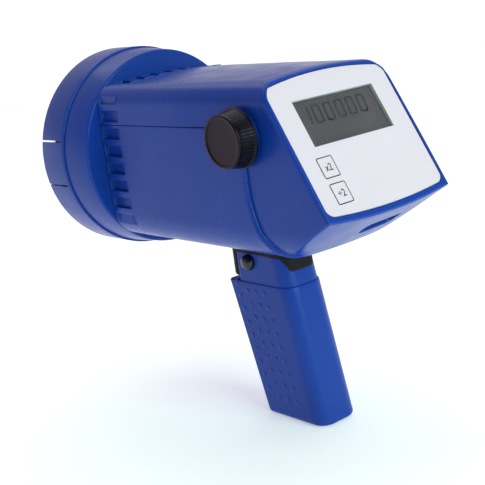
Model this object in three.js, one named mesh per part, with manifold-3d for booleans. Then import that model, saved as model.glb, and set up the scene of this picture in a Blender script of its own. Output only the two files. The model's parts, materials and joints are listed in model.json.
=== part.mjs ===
// Hand-held battery stroboscope with a pistol grip: a round flash lamp in front, a sloping
// display panel at the back, a speed knob on the left side and a trigger in the grip.
// Millimetres, +Z up, lamp facing -Y, panel facing +Y, knob on +X, mid-plane X = 0.
// The pieces are laid out from the lamp: Y = 0 is the front rim and Z = 0 the lamp axis.
// The last lines move the whole object so that its origin is on the grip's base.
import * as THREE from "three";
import { mergeVertices } from "three/addons/utils/BufferGeometryUtils.js";
import Module from "manifold-3d";

const wasm = await Module();
wasm.setup();

// ---------------------------------------------------------------- driving dimensions
const fitGap = 0.3; // between pieces that touch
const slideGap = 0.4; // round pieces that move
const wall = 2.4; // housing wall

const lamp = {
  radius: 61.5, // front ring
  bezelLength: 25,
  drumLength: 22.3, // from the bezel to the rear annulus
  drumStep: 1, // the drum is this much smaller than the bezel
  drumTaper: 1.8, // and narrows by this much to the rear
  hoodDepth: 7, // open space in front of the lens
  lensThickness: 2.5,
  ledge: 2.6, // how far the lens seat reaches in
  bowlDepth: 29,
  bowlHole: 9,
  tabHalfAngle: 12.8, // degrees; snap tabs on both sides
  tabLength: 22,
  slotWidth: 1.1,
};

const body = {
  frontHalfWidth: 46.6,
  rearHalfWidth: 44.4,
  taperStart: 115,
  taperEnd: 178,
  top: 42.6, // at the side of the crowned top
  topCrown: 3,
  bottom: -47.6,
  topRadius: 10,
  bottomRadius: 18,
  sideBow: 0.8,
  neckLength: 19, // finned neck behind the lamp
  finPitch: 10.2,
  finSlot: 6.2,
  finDepth: 2.1,
  partingZ: 21.6,
  cheekY: 174.5, // rear end of the lower housing under the knob
  cheekArc: 56,
  cheekArcZ: -8,
};

const panel = {
  topY: 188.6,
  topZ: 44.4,
  tiltDegrees: 59.45, // from the horizontal
  length: 81.6, // down the slope to the rear edge
  edgeBow: 3.2,
  recess: 1.3,
  floor: 2,
  labelHalfWidth: 41.6,
  labelTop: 0.9,
  labelTopBow: 4.2,
  labelBottom: 77.8,
  labelBottomBow: 2.6,
  labelCorner: 4.5,
  labelThickness: 0.6,
  windowWidth: 57,
  windowTop: 14.1,
  windowHeight: 25.8,
  keyWidth: 10.6,
  keyHeight: 11.4,
  keyLeft: -32,
  keyBelowWindow: 5.6,
  keyGap: 2.8,
  keyTravel: 0.4,
  boardDepth: 6, // from the panel's floor to the display board
};

const grip = {
  halfWidth: 13.6,
  raise: 0.6, // textured part stands this proud
  raiseZ: -73.5,
  baseZ: -152.6,
  frontY: 107.2, // at raiseZ
  frontRake: 0.2604, // rearward per mm down
  recessY: 115.9, // front of the trigger recess
  rearY: 158.3, // at raiseZ
  rearRake: 0.1947,
  frontRadius: 2.4,
  rearRadius: 9,
};

const knob = {
  y: 173.7,
  z: 17.1,
  baseRadius: 15.4,
  frontRadius: 13.6,
  length: 10.7,
  teeth: 56,
  toothDepth: 0.45,
  dishDepth: 0.5, // recessed front disc
  dishRim: 2,
  hollowRadius: 9, // over the nut
  hollowDepth: 4.5,
};

const encoder = { side: 12, depth: 6.4, bushRadius: 3.5, shaftRadius: 2.7, nutRadius: 5.4, nutHeight: 1.8 };

const trigger = {
  halfWidth: 8, // of the stem that slides in the slot
  top: -51,
  bottom: -70.5,
  headHalfWidth: 10.4,
  headTop: -49,
  headBottom: -72.7,
  headThickness: 4.3,
  proud: 7.4,
  flange: 0.6,
  flangeThickness: 2.4,
  travel: 2.5,
};

const lock = { y: 127, z: -61.6, radius: 4.7, proud: 4.2, collar: 1, collarThickness: 0.9, travel: 1 };
const cell = { radius: 8.5, length: 28.5, gap: 0.6, tipRadius: 3, tipHeight: 1 };
const board = { thickness: 1.6, postRadius: 3 };

// Self-tapping screws; head is the head's radius.
const screw = {
  head: 3,
  headHeight: 2.2,
  shank: 1.15,
  pilot: 1.45,
  clearance: 1.7,
  counterbore: 3.5,
  boss: 5,
  engaged: 9, // length in the pilot hole
};

const tripod = { behindFront: 13.9, radius: 5, hole: 3.2, height: 7, sleeveWall: 1.6 };
const roundSides = 64; // facets of the lamp head
const beyond = 300; // further than any piece reaches, for cutting tools

const drumRearY = lamp.bezelLength + lamp.drumLength;
const neckFrontY = drumRearY + fitGap;
const finEndY = drumRearY + body.neckLength;

// ---------------------------------------------------------------- materials
const colour = (hex, roughness, metalness = 0) =>
  new THREE.MeshStandardMaterial({ color: hex, roughness, metalness });
const look = {
  shell: colour(0x333b86, 0.35),
  black: colour(0x16171a, 0.45),
  rubber: colour(0x1c1c1c, 0.8),
  label: colour(0xe9e9ee, 0.4),
  clear: colour(0xdfe8ee, 0.05),
  lcd: colour(0x5b5e60, 0.2),
  mirror: colour(0xe8eaee, 0.08, 1),
  ceramic: colour(0xeae6dc, 0.5),
  board: colour(0x1d5a34, 0.5),
  brass: colour(0xc9a04c, 0.3, 1),
  steel: colour(0xb8bcc2, 0.3, 1),
  sleeve: colour(0x2d3a44, 0.5),
  copper: colour(0xb87340, 0.35, 1),
};

// ---------------------------------------------------------------- solid helpers
function solidFrom(geometry) {
  const bare = new THREE.BufferGeometry();
  bare.setAttribute("position", geometry.getAttribute("position"));
  if (geometry.index) bare.setIndex(geometry.index);
  const merged = mergeVertices(bare, 1e-4);
  const vertProperties = new Float32Array(merged.attributes.position.array);
  const triVerts = new Uint32Array(merged.index.array);
  const solid = new wasm.Manifold(new wasm.Mesh({ numProp: 3, vertProperties, triVerts }));
  if (solid.volume() > 0) return solid;
  for (let i = 0; i < triVerts.length; i += 3) {
    [triVerts[i + 1], triVerts[i + 2]] = [triVerts[i + 2], triVerts[i + 1]];
  }
  return new wasm.Manifold(new wasm.Mesh({ numProp: 3, vertProperties, triVerts }));
}

function geometryFrom(solid) {
  const { vertProperties, triVerts } = solid.getMesh();
  const geometry = new THREE.BufferGeometry();
  geometry.setAttribute("position", new THREE.BufferAttribute(vertProperties, 3));
  geometry.setIndex(new THREE.BufferAttribute(triVerts, 1));
  geometry.computeVertexNormals();
  return geometry;
}

const joined = (...solids) => solids.reduce((whole, piece) => whole.add(piece));
const cut = (solid, ...tools) => tools.reduce((rest, tool) => rest.subtract(tool), solid);

function block([x0, x1], [y0, y1], [z0, z1]) {
  const box = new THREE.BoxGeometry(x1 - x0, y1 - y0, z1 - z0);
  return solidFrom(box.translate((x0 + x1) / 2, (y0 + y1) / 2, (z0 + z1) / 2));
}

// A cylinder or cone from one point to another.
function rod(from, to, startRadius, { endRadius = startRadius, sides = 24 } = {}) {
  const start = new THREE.Vector3(...from);
  const along = new THREE.Vector3(...to).sub(start);
  const round = new THREE.CylinderGeometry(endRadius, startRadius, along.length(), sides);
  const cylinderAxis = new THREE.Vector3(0, 1, 0);
  round.applyQuaternion(new THREE.Quaternion().setFromUnitVectors(cylinderAxis, along.clone().normalize()));
  const middle = start.addScaledVector(along, 0.5);
  return solidFrom(round.translate(middle.x, middle.y, middle.z));
}

// A profile of [radius, y] points turned about the lamp axis.
function turned(profile, segments) {
  const points = [...profile, profile[0]].map(([radius, y]) => new THREE.Vector2(radius, y));
  return solidFrom(new THREE.LatheGeometry(points, segments));
}

// Rings of points, all with the same count, skinned in order and closed at both ends.
function loft(rings) {
  const count = rings[0].length;
  const positions = rings.flat(2);
  const index = [];
  rings.slice(1).forEach((_, i) => {
    for (let k = 0; k < count; k += 1) {
      const next = (k + 1) % count;
      const [a, b] = [i * count + k, i * count + next];
      index.push(a, b, b + count, a, b + count, a + count);
    }
  });
  const last = (rings.length - 1) * count;
  for (let k = 1; k < count - 1; k += 1) index.push(0, k + 1, k, last, last + k, last + k + 1);
  const skin = new THREE.BufferGeometry();
  skin.setAttribute("position", new THREE.Float32BufferAttribute(positions, 3));
  skin.setIndex(index);
  return solidFrom(skin);
}

// An outline in Y and Z, given as a THREE.Shape, swept along X.
function sideSweep(shape, [x0, x1]) {
  const swept = new THREE.ExtrudeGeometry(shape, { depth: x1 - x0, bevelEnabled: false, curveSegments: 12 });
  const toSide = new THREE.Matrix4().set(0, 0, 1, x0, 1, 0, 0, 0, 0, 1, 0, 0, 0, 0, 0, 1);
  return solidFrom(swept.applyMatrix4(toSide));
}

// An outline in X and Y swept along Z between two heights.
function flatSweep(points, [z0, z1]) {
  const shape = new THREE.Shape(points.map(([x, y]) => new THREE.Vector2(x, y)));
  const swept = new THREE.ExtrudeGeometry(shape, { depth: z1 - z0, bevelEnabled: false });
  return solidFrom(swept.translate(0, 0, z0));
}

// Outline of a rectangle with its own radius at each end, anticlockwise, with points along its sides.
function roundedOutline({ left, right, low, high, lowRadius, highRadius, arcSteps = 5, sideSteps = 4 }) {
  const corners = [
    [right - lowRadius, low + lowRadius, lowRadius, -90],
    [right - highRadius, high - highRadius, highRadius, 0],
    [left + highRadius, high - highRadius, highRadius, 90],
    [left + lowRadius, low + lowRadius, lowRadius, 180],
  ];
  const points = [];
  corners.forEach(([cx, cy, radius, startDegrees], i) => {
    for (let k = 0; k <= arcSteps; k += 1) {
      const angle = THREE.MathUtils.degToRad(startDegrees + (90 * k) / arcSteps);
      points.push([cx + radius * Math.cos(angle), cy + radius * Math.sin(angle)]);
    }
    const [nx, ny, nextRadius, nextStart] = corners[(i + 1) % 4];
    const nextAngle = THREE.MathUtils.degToRad(nextStart);
    const end = [nx + nextRadius * Math.cos(nextAngle), ny + nextRadius * Math.sin(nextAngle)];
    const from = points[points.length - 1];
    for (let k = 1; k < sideSteps; k += 1) {
      const share = k / sideSteps;
      points.push([from[0] + (end[0] - from[0]) * share, from[1] + (end[1] - from[1]) * share]);
    }
  });
  return points;
}

const object = new THREE.Group();

function addPiece(parent, name, solid, material) {
  const mesh = new THREE.Mesh(geometryFrom(solid), material);
  mesh.name = name;
  parent.add(mesh);
  return mesh;
}

// ---------------------------------------------------------------- frames of the sloping faces
const tilt = THREE.MathUtils.degToRad(panel.tiltDegrees);
const upSlope = new THREE.Vector3(0, -Math.cos(tilt), Math.sin(tilt));
const panelOut = new THREE.Vector3(0, Math.sin(tilt), Math.cos(tilt));

// Panel frame: x to the user's right, y up the slope, z out of the panel.
const panelFrame = new THREE.Group();
panelFrame.position.set(0, panel.topY, panel.topZ);
panelFrame.rotation.setFromRotationMatrix(
  new THREE.Matrix4().makeBasis(new THREE.Vector3(-1, 0, 0), upSlope, panelOut),
);
panelFrame.updateMatrixWorld(true);
object.add(panelFrame);

// Underside frame: x as the object's, y forward and down from the rear edge, z out.
const undersideFrame = new THREE.Group();
undersideFrame.position.copy(panelFrame.position).addScaledVector(upSlope, -panel.length);
const [forwardDown, undersideOut] = [panelOut.clone().negate(), upSlope.clone().negate()];
undersideFrame.rotation.setFromRotationMatrix(
  new THREE.Matrix4().makeBasis(new THREE.Vector3(1, 0, 0), forwardDown, undersideOut),
);
undersideFrame.updateMatrixWorld(true);
object.add(undersideFrame);

const inFrame = (frame, solid) => solid.transform(frame.matrixWorld.elements);

// ---------------------------------------------------------------- lamp head
const bezelInner = lamp.radius - wall - 0.8;
const spigotRadius = bezelInner - fitGap;
const spigotInner = spigotRadius - 2.2;
const seatY = lamp.hoodDepth - 1.8;
const lensFrontY = lamp.hoodDepth + fitGap;
const lensRearY = lensFrontY + lamp.lensThickness;
const spigotFrontY = lensRearY + 2.2;
const drumRadius = lamp.radius - lamp.drumStep;
const bowlFrontY = spigotFrontY + 0.6;
const bowlRadius = spigotInner - 1.3;
const bowlRearY = bowlFrontY + lamp.bowlDepth;

function lampBezel() {
  const { radius, bezelLength, ledge, hoodDepth, slotWidth, tabHalfAngle, tabLength } = lamp;
  const ring = turned([
    [bezelInner, 0],
    [radius - 1.2, 0],
    [radius - 0.3, 0.4],
    [radius, 1.3],
    [radius, bezelLength - 0.5],
    [radius - 0.5, bezelLength],
    [bezelInner, bezelLength],
    [bezelInner, hoodDepth],
    [bezelInner - ledge, hoodDepth],
    [bezelInner - ledge, seatY],
    [bezelInner, seatY],
  ], roundSides);
  const slots = [0, 180].flatMap((side) =>
    [-1, 1].map((sign) => {
      const slot = new THREE.BoxGeometry(8, tabLength + 2, slotWidth);
      slot.translate(bezelInner - 0.6 + 4, tabLength / 2 - 1, 0);
      slot.rotateY(THREE.MathUtils.degToRad(side + sign * tabHalfAngle));
      return solidFrom(slot);
    }),
  );
  return cut(ring, ...slots);
}

function lampLens() {
  const edge = bezelInner - fitGap;
  const domed = bezelInner - lamp.ledge - 1;
  const steps = 5;
  const bulge = 1.1;
  const front = Array.from({ length: steps + 1 }, (_, k) => {
    const radius = (domed * k) / steps;
    return [radius, lensFrontY - bulge * (1 - (radius / domed) ** 2)];
  });
  return turned([...front, [edge, lensFrontY], [edge, lensRearY], [0, lensRearY]], roundSides);
}

function lampGasket() {
  return turned([
    [spigotInner + 0.2, lensRearY + fitGap],
    [spigotRadius - 0.2, lensRearY + fitGap],
    [spigotRadius - 0.2, spigotFrontY - fitGap],
    [spigotInner + 0.2, spigotFrontY - fitGap],
  ], roundSides);
}

const headScrewPlaces = [[-33, 30], [33, 30], [-33, -33], [33, -33]];
const headBossLength = screw.engaged + 2;
const plateFrontY = drumRearY - wall;

function lampDrum() {
  const shoulderY = lamp.bezelLength + fitGap;
  const rearRadius = drumRadius - lamp.drumTaper;
  const shell = turned([
    [spigotInner, spigotFrontY],
    [spigotRadius, spigotFrontY],
    [spigotRadius, shoulderY],
    [drumRadius, shoulderY],
    [rearRadius + 0.3, drumRearY - 1.6],
    [rearRadius - 0.4, drumRearY - 0.5],
    [rearRadius - 1.4, drumRearY],
    [38, drumRearY],
    [38, plateFrontY],
    [spigotInner, plateFrontY],
  ], roundSides);
  const holes = headScrewPlaces.map(([x, z]) =>
    rod([x, plateFrontY - 1, z], [x, drumRearY + 1, z], screw.clearance),
  );
  const pads = headScrewPlaces.map(([x, z]) => rod([x, plateFrontY, z], [x, drumRearY, z], screw.boss + 2));
  return cut(joined(shell, ...pads), ...holes);
}

function lampBowl() {
  const steps = 7;
  const thickness = 0.9;
  const curve = (radius) => bowlRearY - lamp.bowlDepth * ((radius / bowlRadius) ** 2);
  const step = (bowlRadius - lamp.bowlHole) / steps;
  const radii = Array.from({ length: steps + 1 }, (_, k) => lamp.bowlHole + step * k);
  const inner = radii.map((radius) => [radius, curve(radius)]);
  const outer = radii.map((radius) => [radius, curve(radius) + thickness]).reverse();
  const flange = [
    [spigotInner - fitGap, bowlFrontY],
    [spigotInner - fitGap, bowlFrontY + thickness],
  ];
  return turned([...inner, ...flange, ...outer], roundSides);
}

const bulb = {
  rearY: bowlRearY + 8,
  radius: lamp.bowlHole - 1,
  height: 11,
  legGap: 5,
  tubeRadius: 2,
  reach: 16,
};
const bulbFrontY = bulb.rearY - bulb.height;
const socket = { radius: 13, depth: 9, overlap: 4 };

function flashTube() {
  const { legGap } = bulb;
  const path = new THREE.CurvePath();
  const rear = bulbFrontY - fitGap;
  const front = rear - bulb.reach;
  const steps = 18;
  const points = [new THREE.Vector3(-legGap, rear, 0)];
  for (let k = 0; k <= steps; k += 1) {
    const angle = Math.PI * (1 - k / steps);
    points.push(new THREE.Vector3(legGap * Math.cos(angle), front - legGap * Math.sin(angle), 0));
  }
  points.push(new THREE.Vector3(legGap, rear, 0));
  points.slice(1).forEach((point, i) => path.add(new THREE.LineCurve3(points[i], point)));
  const section = new THREE.Shape();
  section.absarc(0, 0, bulb.tubeRadius, 0, 2 * Math.PI, false);
  const tube = new THREE.ExtrudeGeometry(section, { steps: 26, curveSegments: 4, extrudePath: path });
  return solidFrom(tube);
}

function addLampHead() {
  addPiece(object, "lamp_bezel", lampBezel(), look.shell);
  addPiece(object, "lamp_lens", lampLens(), look.clear);
  addPiece(object, "lamp_gasket", lampGasket(), look.rubber);
  addPiece(object, "lamp_drum", lampDrum(), look.shell);
  addPiece(object, "reflector_bowl", lampBowl(), look.mirror);
  addPiece(object, "flash_tube", flashTube(), look.clear);
  const base = turned([
    [0, bulbFrontY],
    [bulb.radius, bulbFrontY],
    [bulb.radius, bulb.rearY],
    [0, bulb.rearY],
  ], 32);
  addPiece(object, "flash_tube_base", base, look.ceramic);
  const socketFront = bulb.rearY - socket.overlap;
  const socketRear = socketFront + socket.depth;
  const holder = turned([
    [bulb.radius + fitGap, socketFront],
    [socket.radius, socketFront],
    [socket.radius, socketRear],
    [0, socketRear],
    [0, bulb.rearY + fitGap],
    [bulb.radius + fitGap, bulb.rearY + fitGap],
  ], 32);
  addPiece(object, "flash_tube_socket", holder, look.black);
  const boardY = socketRear + fitGap;
  addPiece(object, "lamp_board", block([-27, 27], [boardY, boardY + board.thickness], [-30, 28]), look.board);
  headScrewPlaces.forEach(([x, z], i) => {
    const headRear = plateFrontY - fitGap;
    const solid = joined(
      rod([x, headRear - screw.headHeight, z], [x, headRear, z], screw.head, { sides: 16 }),
      rod([x, headRear - 0.2, z], [x, neckFrontY + screw.engaged, z], screw.shank, { sides: 12 }),
    );
    addPiece(object, `head_screw_${i + 1}`, solid, look.steel);
  });
}

// ---------------------------------------------------------------- body housings
// Half width of the body at a distance from the front rim.
function bodyHalfWidth(y, rearHalfWidth) {
  const share = THREE.MathUtils.smoothstep(y, body.taperStart, body.taperEnd);
  return body.frontHalfWidth + (rearHalfWidth - body.frontHalfWidth) * share;
}

// Outline of the body at one Y, drawn in by inset, with its crowned top and bowed sides.
function bodyRing(y, rearHalfWidth, inset = 0) {
  const half = bodyHalfWidth(y, rearHalfWidth) - inset;
  const [low, high] = [body.bottom + inset, body.top - inset];
  const outline = roundedOutline({
    left: -half,
    right: half,
    low,
    high,
    lowRadius: body.bottomRadius - inset,
    highRadius: body.topRadius - inset,
  });
  const middle = (low + high) / 2;
  return outline.map(([x, z]) => {
    const across = 1 - (x / half) ** 2;
    const up = (z - middle) / (high - middle);
    const lifted = z + (up > 0 ? body.topCrown * across * up : 0);
    return [x - Math.sign(x) * body.sideBow * up * up, y, lifted];
  });
}

const stations = [115, 135, 150, 160, 178];
const outerLoft = (rearHalfWidth) =>
  loft([neckFrontY, finEndY, ...stations, 245].map((y) => bodyRing(y, rearHalfWidth)));

const neckWall = wall + body.finDepth;
const cavity = () =>
  loft([
    ...[neckFrontY - 5, finEndY].map((y) => bodyRing(y, body.rearHalfWidth, neckWall)),
    ...[finEndY + 3, ...stations, 245].map((y) => bodyRing(y, body.rearHalfWidth, wall)),
  ]);

// Everything that lies behind the panel face, drawn in by depth.
function behindPanel(depth) {
  return inFrame(panelFrame, block([-80, 80], [-140, 60], [-depth, 60]));
}

// Everything that lies below the bowed underside, drawn in by depth.
function belowUnderside(depth) {
  const steps = 12;
  const reach = 60;
  const points = [[-reach, -180], [reach, -180]];
  for (let k = 0; k <= steps; k += 1) {
    const x = reach * (1 - (2 * k) / steps);
    points.push([x, depth - panel.length + panel.edgeBow * (x / body.rearHalfWidth) ** 2]);
  }
  return inFrame(panelFrame, flatSweep(points, [-160, 20]));
}

// Side outline of the lower housing's own share of the body, grown by a gap.
function lowerShare(grow) {
  const shape = new THREE.Shape();
  const rear = body.cheekY + grow;
  const arcCentre = body.cheekY + body.cheekArc;
  shape.moveTo(0, -80);
  shape.lineTo(arcCentre - 10, -80);
  shape.lineTo(arcCentre - 10, body.cheekArcZ - body.cheekArc + grow);
  const startAngle = THREE.MathUtils.degToRad(260);
  shape.absarc(arcCentre, body.cheekArcZ, body.cheekArc - grow, startAngle, Math.PI, true);
  shape.lineTo(rear, body.partingZ + grow);
  shape.lineTo(0, body.partingZ + grow);
  shape.closePath();
  const share = sideSweep(shape, [-70, 70]);
  const padRadius = knob.baseRadius - wall + grow;
  const knobPad = rod([30, knob.y, knob.z], [70, knob.y, knob.z], padRadius, { sides: 32 });
  return joined(share, knobPad);
}

function finSlots() {
  const [y0, y1] = [neckFrontY + 1.8, finEndY];
  const half = body.finSlot / 2;
  const slots = [];
  const firstZ = body.partingZ - body.finPitch / 2;
  for (let k = -2; k <= 5; k += 1) {
    const z = firstZ - k * body.finPitch;
    const inner = body.frontHalfWidth - body.finDepth - 0.3;
    slots.push(block([inner, 70], [y0, y1], [z - half, z + half]));
    slots.push(block([-70, -inner], [y0, y1], [z - half, z + half]));
  }
  for (let k = -3; k <= 3; k += 1) {
    const x = k * body.finPitch;
    const crown = body.topCrown * (1 - ((Math.abs(x) + half) / body.frontHalfWidth) ** 2);
    slots.push(block([x - half, x + half], [y0, y1], [body.top + crown - body.finDepth, 70]));
    slots.push(block([x - half, x + half], [y0, y1], [-70, body.bottom + body.finDepth]));
  }
  return slots;
}

const caseScrewPlaces = [[-35, 86], [35, 86], [-33, 160], [33, 160]];
const caseScrewSeat = 9; // lowest point of the screw seat, inside the lower housing

const bottomInside = body.bottom + wall - 0.5;

// Blind holes for the screws that hold the lamp head.
const headPilots = () =>
  headScrewPlaces.map(([x, z]) => rod([x, 0, z], [x, neckFrontY + 10, z], screw.pilot, { sides: 16 }));

function upperHousing() {
  const wholeCavity = cut(cavity(), behindPanel(panel.recess + panel.floor), belowUnderside(wall));
  const bosses = caseScrewPlaces.map(([x, y]) =>
    rod([x, y, body.partingZ + fitGap], [x, y, body.top - 1], screw.boss - 0.5),
  );
  const headBosses = headScrewPlaces.slice(0, 2).map(([x, z]) => joined(
    rod([x, neckFrontY, z], [x, neckFrontY + headBossLength, z], screw.boss - 1),
    block([x - 3, x + 3], [neckFrontY, neckFrontY + headBossLength], [z, body.top - 2]),
  ));
  const casePilots = caseScrewPlaces.map(([x, y]) =>
    rod([x, y, 0], [x, y, body.partingZ + screw.engaged + 5], screw.pilot, { sides: 16 }),
  );
  const shell = cut(outerLoft(body.rearHalfWidth), behindPanel(0), belowUnderside(0), wholeCavity);
  const filled = joined(shell, ...bosses, ...headBosses, pocketFloor());
  const whole = cut(filled, ...casePilots, ...headPilots(), lowerShare(fitGap), ...finSlots());
  return cut(whole, inFrame(panelFrame, panelCuts()), inFrame(undersideFrame, undersideCuts()));
}

// ---------------------------------------------------------------- display panel
// The label's outline: a rounded rectangle with a bowed top and bottom.
function labelOutline(grow) {
  const { labelHalfWidth, labelTop, labelBottom, labelCorner, labelTopBow, labelBottomBow } = panel;
  const outline = roundedOutline({
    left: -labelHalfWidth - grow,
    right: labelHalfWidth + grow,
    low: -labelBottom - grow,
    high: -labelTop + grow,
    lowRadius: labelCorner + grow,
    highRadius: labelCorner + grow,
    sideSteps: 6,
  });
  return outline.map(([x, y]) => {
    const down = (-y - labelTop) / (labelBottom - labelTop);
    const bow = (x / labelHalfWidth) ** 2;
    return [x, y - labelTopBow * bow * (1 - down) + labelBottomBow * bow * down];
  });
}

const plainBox = (x0, x1, top, bottom, grow) => [[x0 - grow, x1 + grow], [-bottom - grow, -top + grow]];

const windowBottom = panel.windowTop + panel.windowHeight;
const windowPlace = (grow) =>
  plainBox(-panel.windowWidth / 2, panel.windowWidth / 2, panel.windowTop, windowBottom, grow);

const firstKeyTop = windowBottom + panel.keyBelowWindow;
const keyTops = [firstKeyTop, firstKeyTop + panel.keyHeight + panel.keyGap];
const keyPlace = (top, grow) =>
  plainBox(panel.keyLeft, panel.keyLeft + panel.keyWidth, top, top + panel.keyHeight, grow);

const floorTop = -panel.recess;
const floorBottom = floorTop - panel.floor;
const labelBack = floorTop + fitGap;
const labelFace = labelBack + panel.labelThickness;

// The window's and the keys' openings, right through the label and the floor under it.
const panelOpenings = () => [
  block(...windowPlace(0), [floorBottom - 3, 10]),
  ...keyTops.map((top) => block(...keyPlace(top, 0), [floorBottom - 3, 10])),
];

const panelCuts = () => joined(flatSweep(labelOutline(fitGap), [floorTop, 10]), ...panelOpenings());

function addPanel() {
  const label = cut(flatSweep(labelOutline(0), [labelBack, labelFace]), ...panelOpenings());
  addPiece(panelFrame, "panel_label", label, look.label);

  const windowFace = labelFace - 0.1;
  const windowBack = windowFace - 1.5;
  const windowPane = block(...windowPlace(-fitGap), [windowBack, windowFace]);
  addPiece(panelFrame, "display_window", windowPane, look.clear);
  const lcdFace = windowBack - fitGap;
  const lcdBack = lcdFace - 2;
  addPiece(panelFrame, "lcd_glass", block(...windowPlace(-0.6), [lcdBack, lcdFace]), look.lcd);
  const frameFace = lcdBack - fitGap;
  const boardFace = floorBottom - panel.boardDepth;
  const frame = cut(
    block(...windowPlace(1.5), [boardFace + fitGap, frameFace]),
    block(...windowPlace(-3), [boardFace + 1.5, frameFace + 1]),
  );
  addPiece(panelFrame, "lcd_frame", frame, look.black);
  const boardPlate = block(
    [-35, 35],
    [-panel.labelBottom + 4, -panel.windowTop + 4],
    [boardFace - board.thickness, boardFace],
  );
  addPiece(panelFrame, "display_board", boardPlate, look.board);

  ["times_two", "divide_two"].forEach((name, i) => {
    const top = keyTops[i];
    const keyFace = labelFace + 0.05;
    const flangeFace = floorBottom - fitGap;
    const flangeBack = flangeFace - 0.8;
    const cap = joined(
      block(...keyPlace(top, -fitGap), [flangeBack, keyFace]),
      block(...keyPlace(top, 0.8), [flangeBack, flangeFace]),
    );
    addPiece(panelFrame, `key_${name}`, cap, look.label);
    const [x, y] = [panel.keyLeft + panel.keyWidth / 2, -top - panel.keyHeight / 2];
    const plungerFace = flangeBack - panel.keyTravel - fitGap;
    const base = boardFace + fitGap;
    const tact = joined(
      block([x - 3, x + 3], [y - 3, y + 3], [base, plungerFace - 0.9]),
      rod([x, y, base + 0.5], [x, y, plungerFace], 1.7, { sides: 16 }),
    );
    addPiece(panelFrame, `${name}_switch`, tact, look.black);
  });
}

// ---------------------------------------------------------------- jacks in the rear underside
const jackPocket = { x0: -22, x1: 5, near: 17, far: 28, depth: 3.4, floor: 2, corner: 4 };
const jacks = [
  { name: "charge_jack", x: -15.5, radius: 3.9, hole: 1.6 },
  { name: "sync_jack_in", x: -6.5, radius: 3.1, hole: 1.75 },
  { name: "sync_jack_out", x: 1, radius: 3.1, hole: 1.75 },
];
const jackY = (jackPocket.near + jackPocket.far) / 2;
const jackFace = -jackPocket.depth - 0.4;

function undersideCuts() {
  const pocket = flatSweep(
    roundedOutline({
      left: jackPocket.x0,
      right: jackPocket.x1,
      low: jackPocket.near,
      high: jackPocket.far,
      lowRadius: jackPocket.corner,
      highRadius: jackPocket.corner,
      sideSteps: 1,
    }),
    [-jackPocket.depth, 10],
  );
  const holes = jacks.map(({ x, radius }) => rod([x, jackY, -15], [x, jackY, 0], radius + fitGap));
  return joined(pocket, ...holes);
}

// Backs the pocket, which is deeper than the wall.
function pocketFloor() {
  const { x0, x1, near, far, depth, floor } = jackPocket;
  const backing = block([x0 - floor, x1 + floor], [near - floor, far + floor], [-depth - floor, -wall / 2]);
  return inFrame(undersideFrame, backing);
}

function addJacks() {
  const bodyFace = -jackPocket.depth - jackPocket.floor - fitGap;
  jacks.forEach(({ name, x, radius, hole }) => {
    const barrel = joined(
      rod([x, jackY, bodyFace - 2], [x, jackY, jackFace], radius),
      block([x - 3.3, x + 3.3], [jackY - 4, jackY + 4], [bodyFace - 8, bodyFace]),
    );
    const bore = rod([x, jackY, bodyFace - 6.5], [x, jackY, 1], hole, { sides: 16 });
    addPiece(undersideFrame, name, cut(barrel, bore), look.black);
  });
}

// ---------------------------------------------------------------- grip
const gripFront = (z) => grip.frontY + grip.frontRake * (grip.raiseZ - z);
const gripRear = (z) => grip.rearY + grip.rearRake * (grip.raiseZ - z);

function gripRing(z, front, { inset = 0, raise = 0 } = {}) {
  const half = grip.halfWidth + raise - inset;
  return roundedOutline({
    left: -half,
    right: half,
    low: front + inset,
    high: gripRear(z) + raise - inset,
    lowRadius: Math.max(grip.frontRadius - inset, 1),
    highRadius: grip.rearRadius - inset,
    sideSteps: 1,
  }).map(([x, y]) => [x, y, z]);
}

const gripTopZ = body.bottom + 6;
const footRounding = 2.4;

function gripOuter() {
  const upper = loft([gripTopZ, grip.raiseZ - 1].map((z) => gripRing(z, grip.recessY)));
  const feet = [[0, 1], [0.3, 0.35], [1, 0.08], [footRounding, 0]];
  const foot = feet.map(([rise, share]) => {
    const z = grip.baseZ + rise;
    return gripRing(z, gripFront(z), { inset: footRounding * share, raise: grip.raise });
  });
  const lower = loft([...foot, gripRing(grip.raiseZ, gripFront(grip.raiseZ), { raise: grip.raise })]);
  return joined(upper, lower);
}

const capTopZ = grip.baseZ + 4;

function gripCavity() {
  const lowTop = grip.raiseZ - wall;
  const upper = loft([gripTopZ + 8, lowTop].map((z) => gripRing(z, grip.recessY, { inset: wall })));
  const lower = loft([grip.baseZ - 1, lowTop].map((z) => gripRing(z, gripFront(z), { inset: wall })));
  return joined(upper, lower);
}

const slotPlace = (grow) => [
  [-trigger.halfWidth - grow, trigger.halfWidth + grow],
  [trigger.bottom - grow, trigger.top + grow],
];

const springY = grip.recessY + wall + fitGap + trigger.flangeThickness;
const springWallY = springY + 9.5;
const springZ = trigger.top - 4.5;

// The lower housing's share of the body, hollow, with the wall behind the knob.
function lowerBodyShell() {
  const outside = cut(outerLoft(body.frontHalfWidth), behindPanel(0), belowUnderside(0));
  const padFace = body.rearHalfWidth - fitGap - 0.1;
  const padRadius = knob.baseRadius - wall - 0.6;
  const padBack = rod([padFace - 1.9, knob.y, knob.z], [padFace, knob.y, knob.z], padRadius);
  return joined(cut(lowerShare(0).intersect(outside), cavity()), padBack);
}

function hollowHandle() {
  const belowBody = cut(gripOuter(), block([-80, 80], [0, beyond], [body.bottom + wall / 2, 0]));
  const inside = cut(gripCavity(), block([-80, 80], [0, beyond], [body.bottom + wall + 4, 60]));
  return cut(joined(belowBody, lowerBodyShell()), inside);
}

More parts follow.
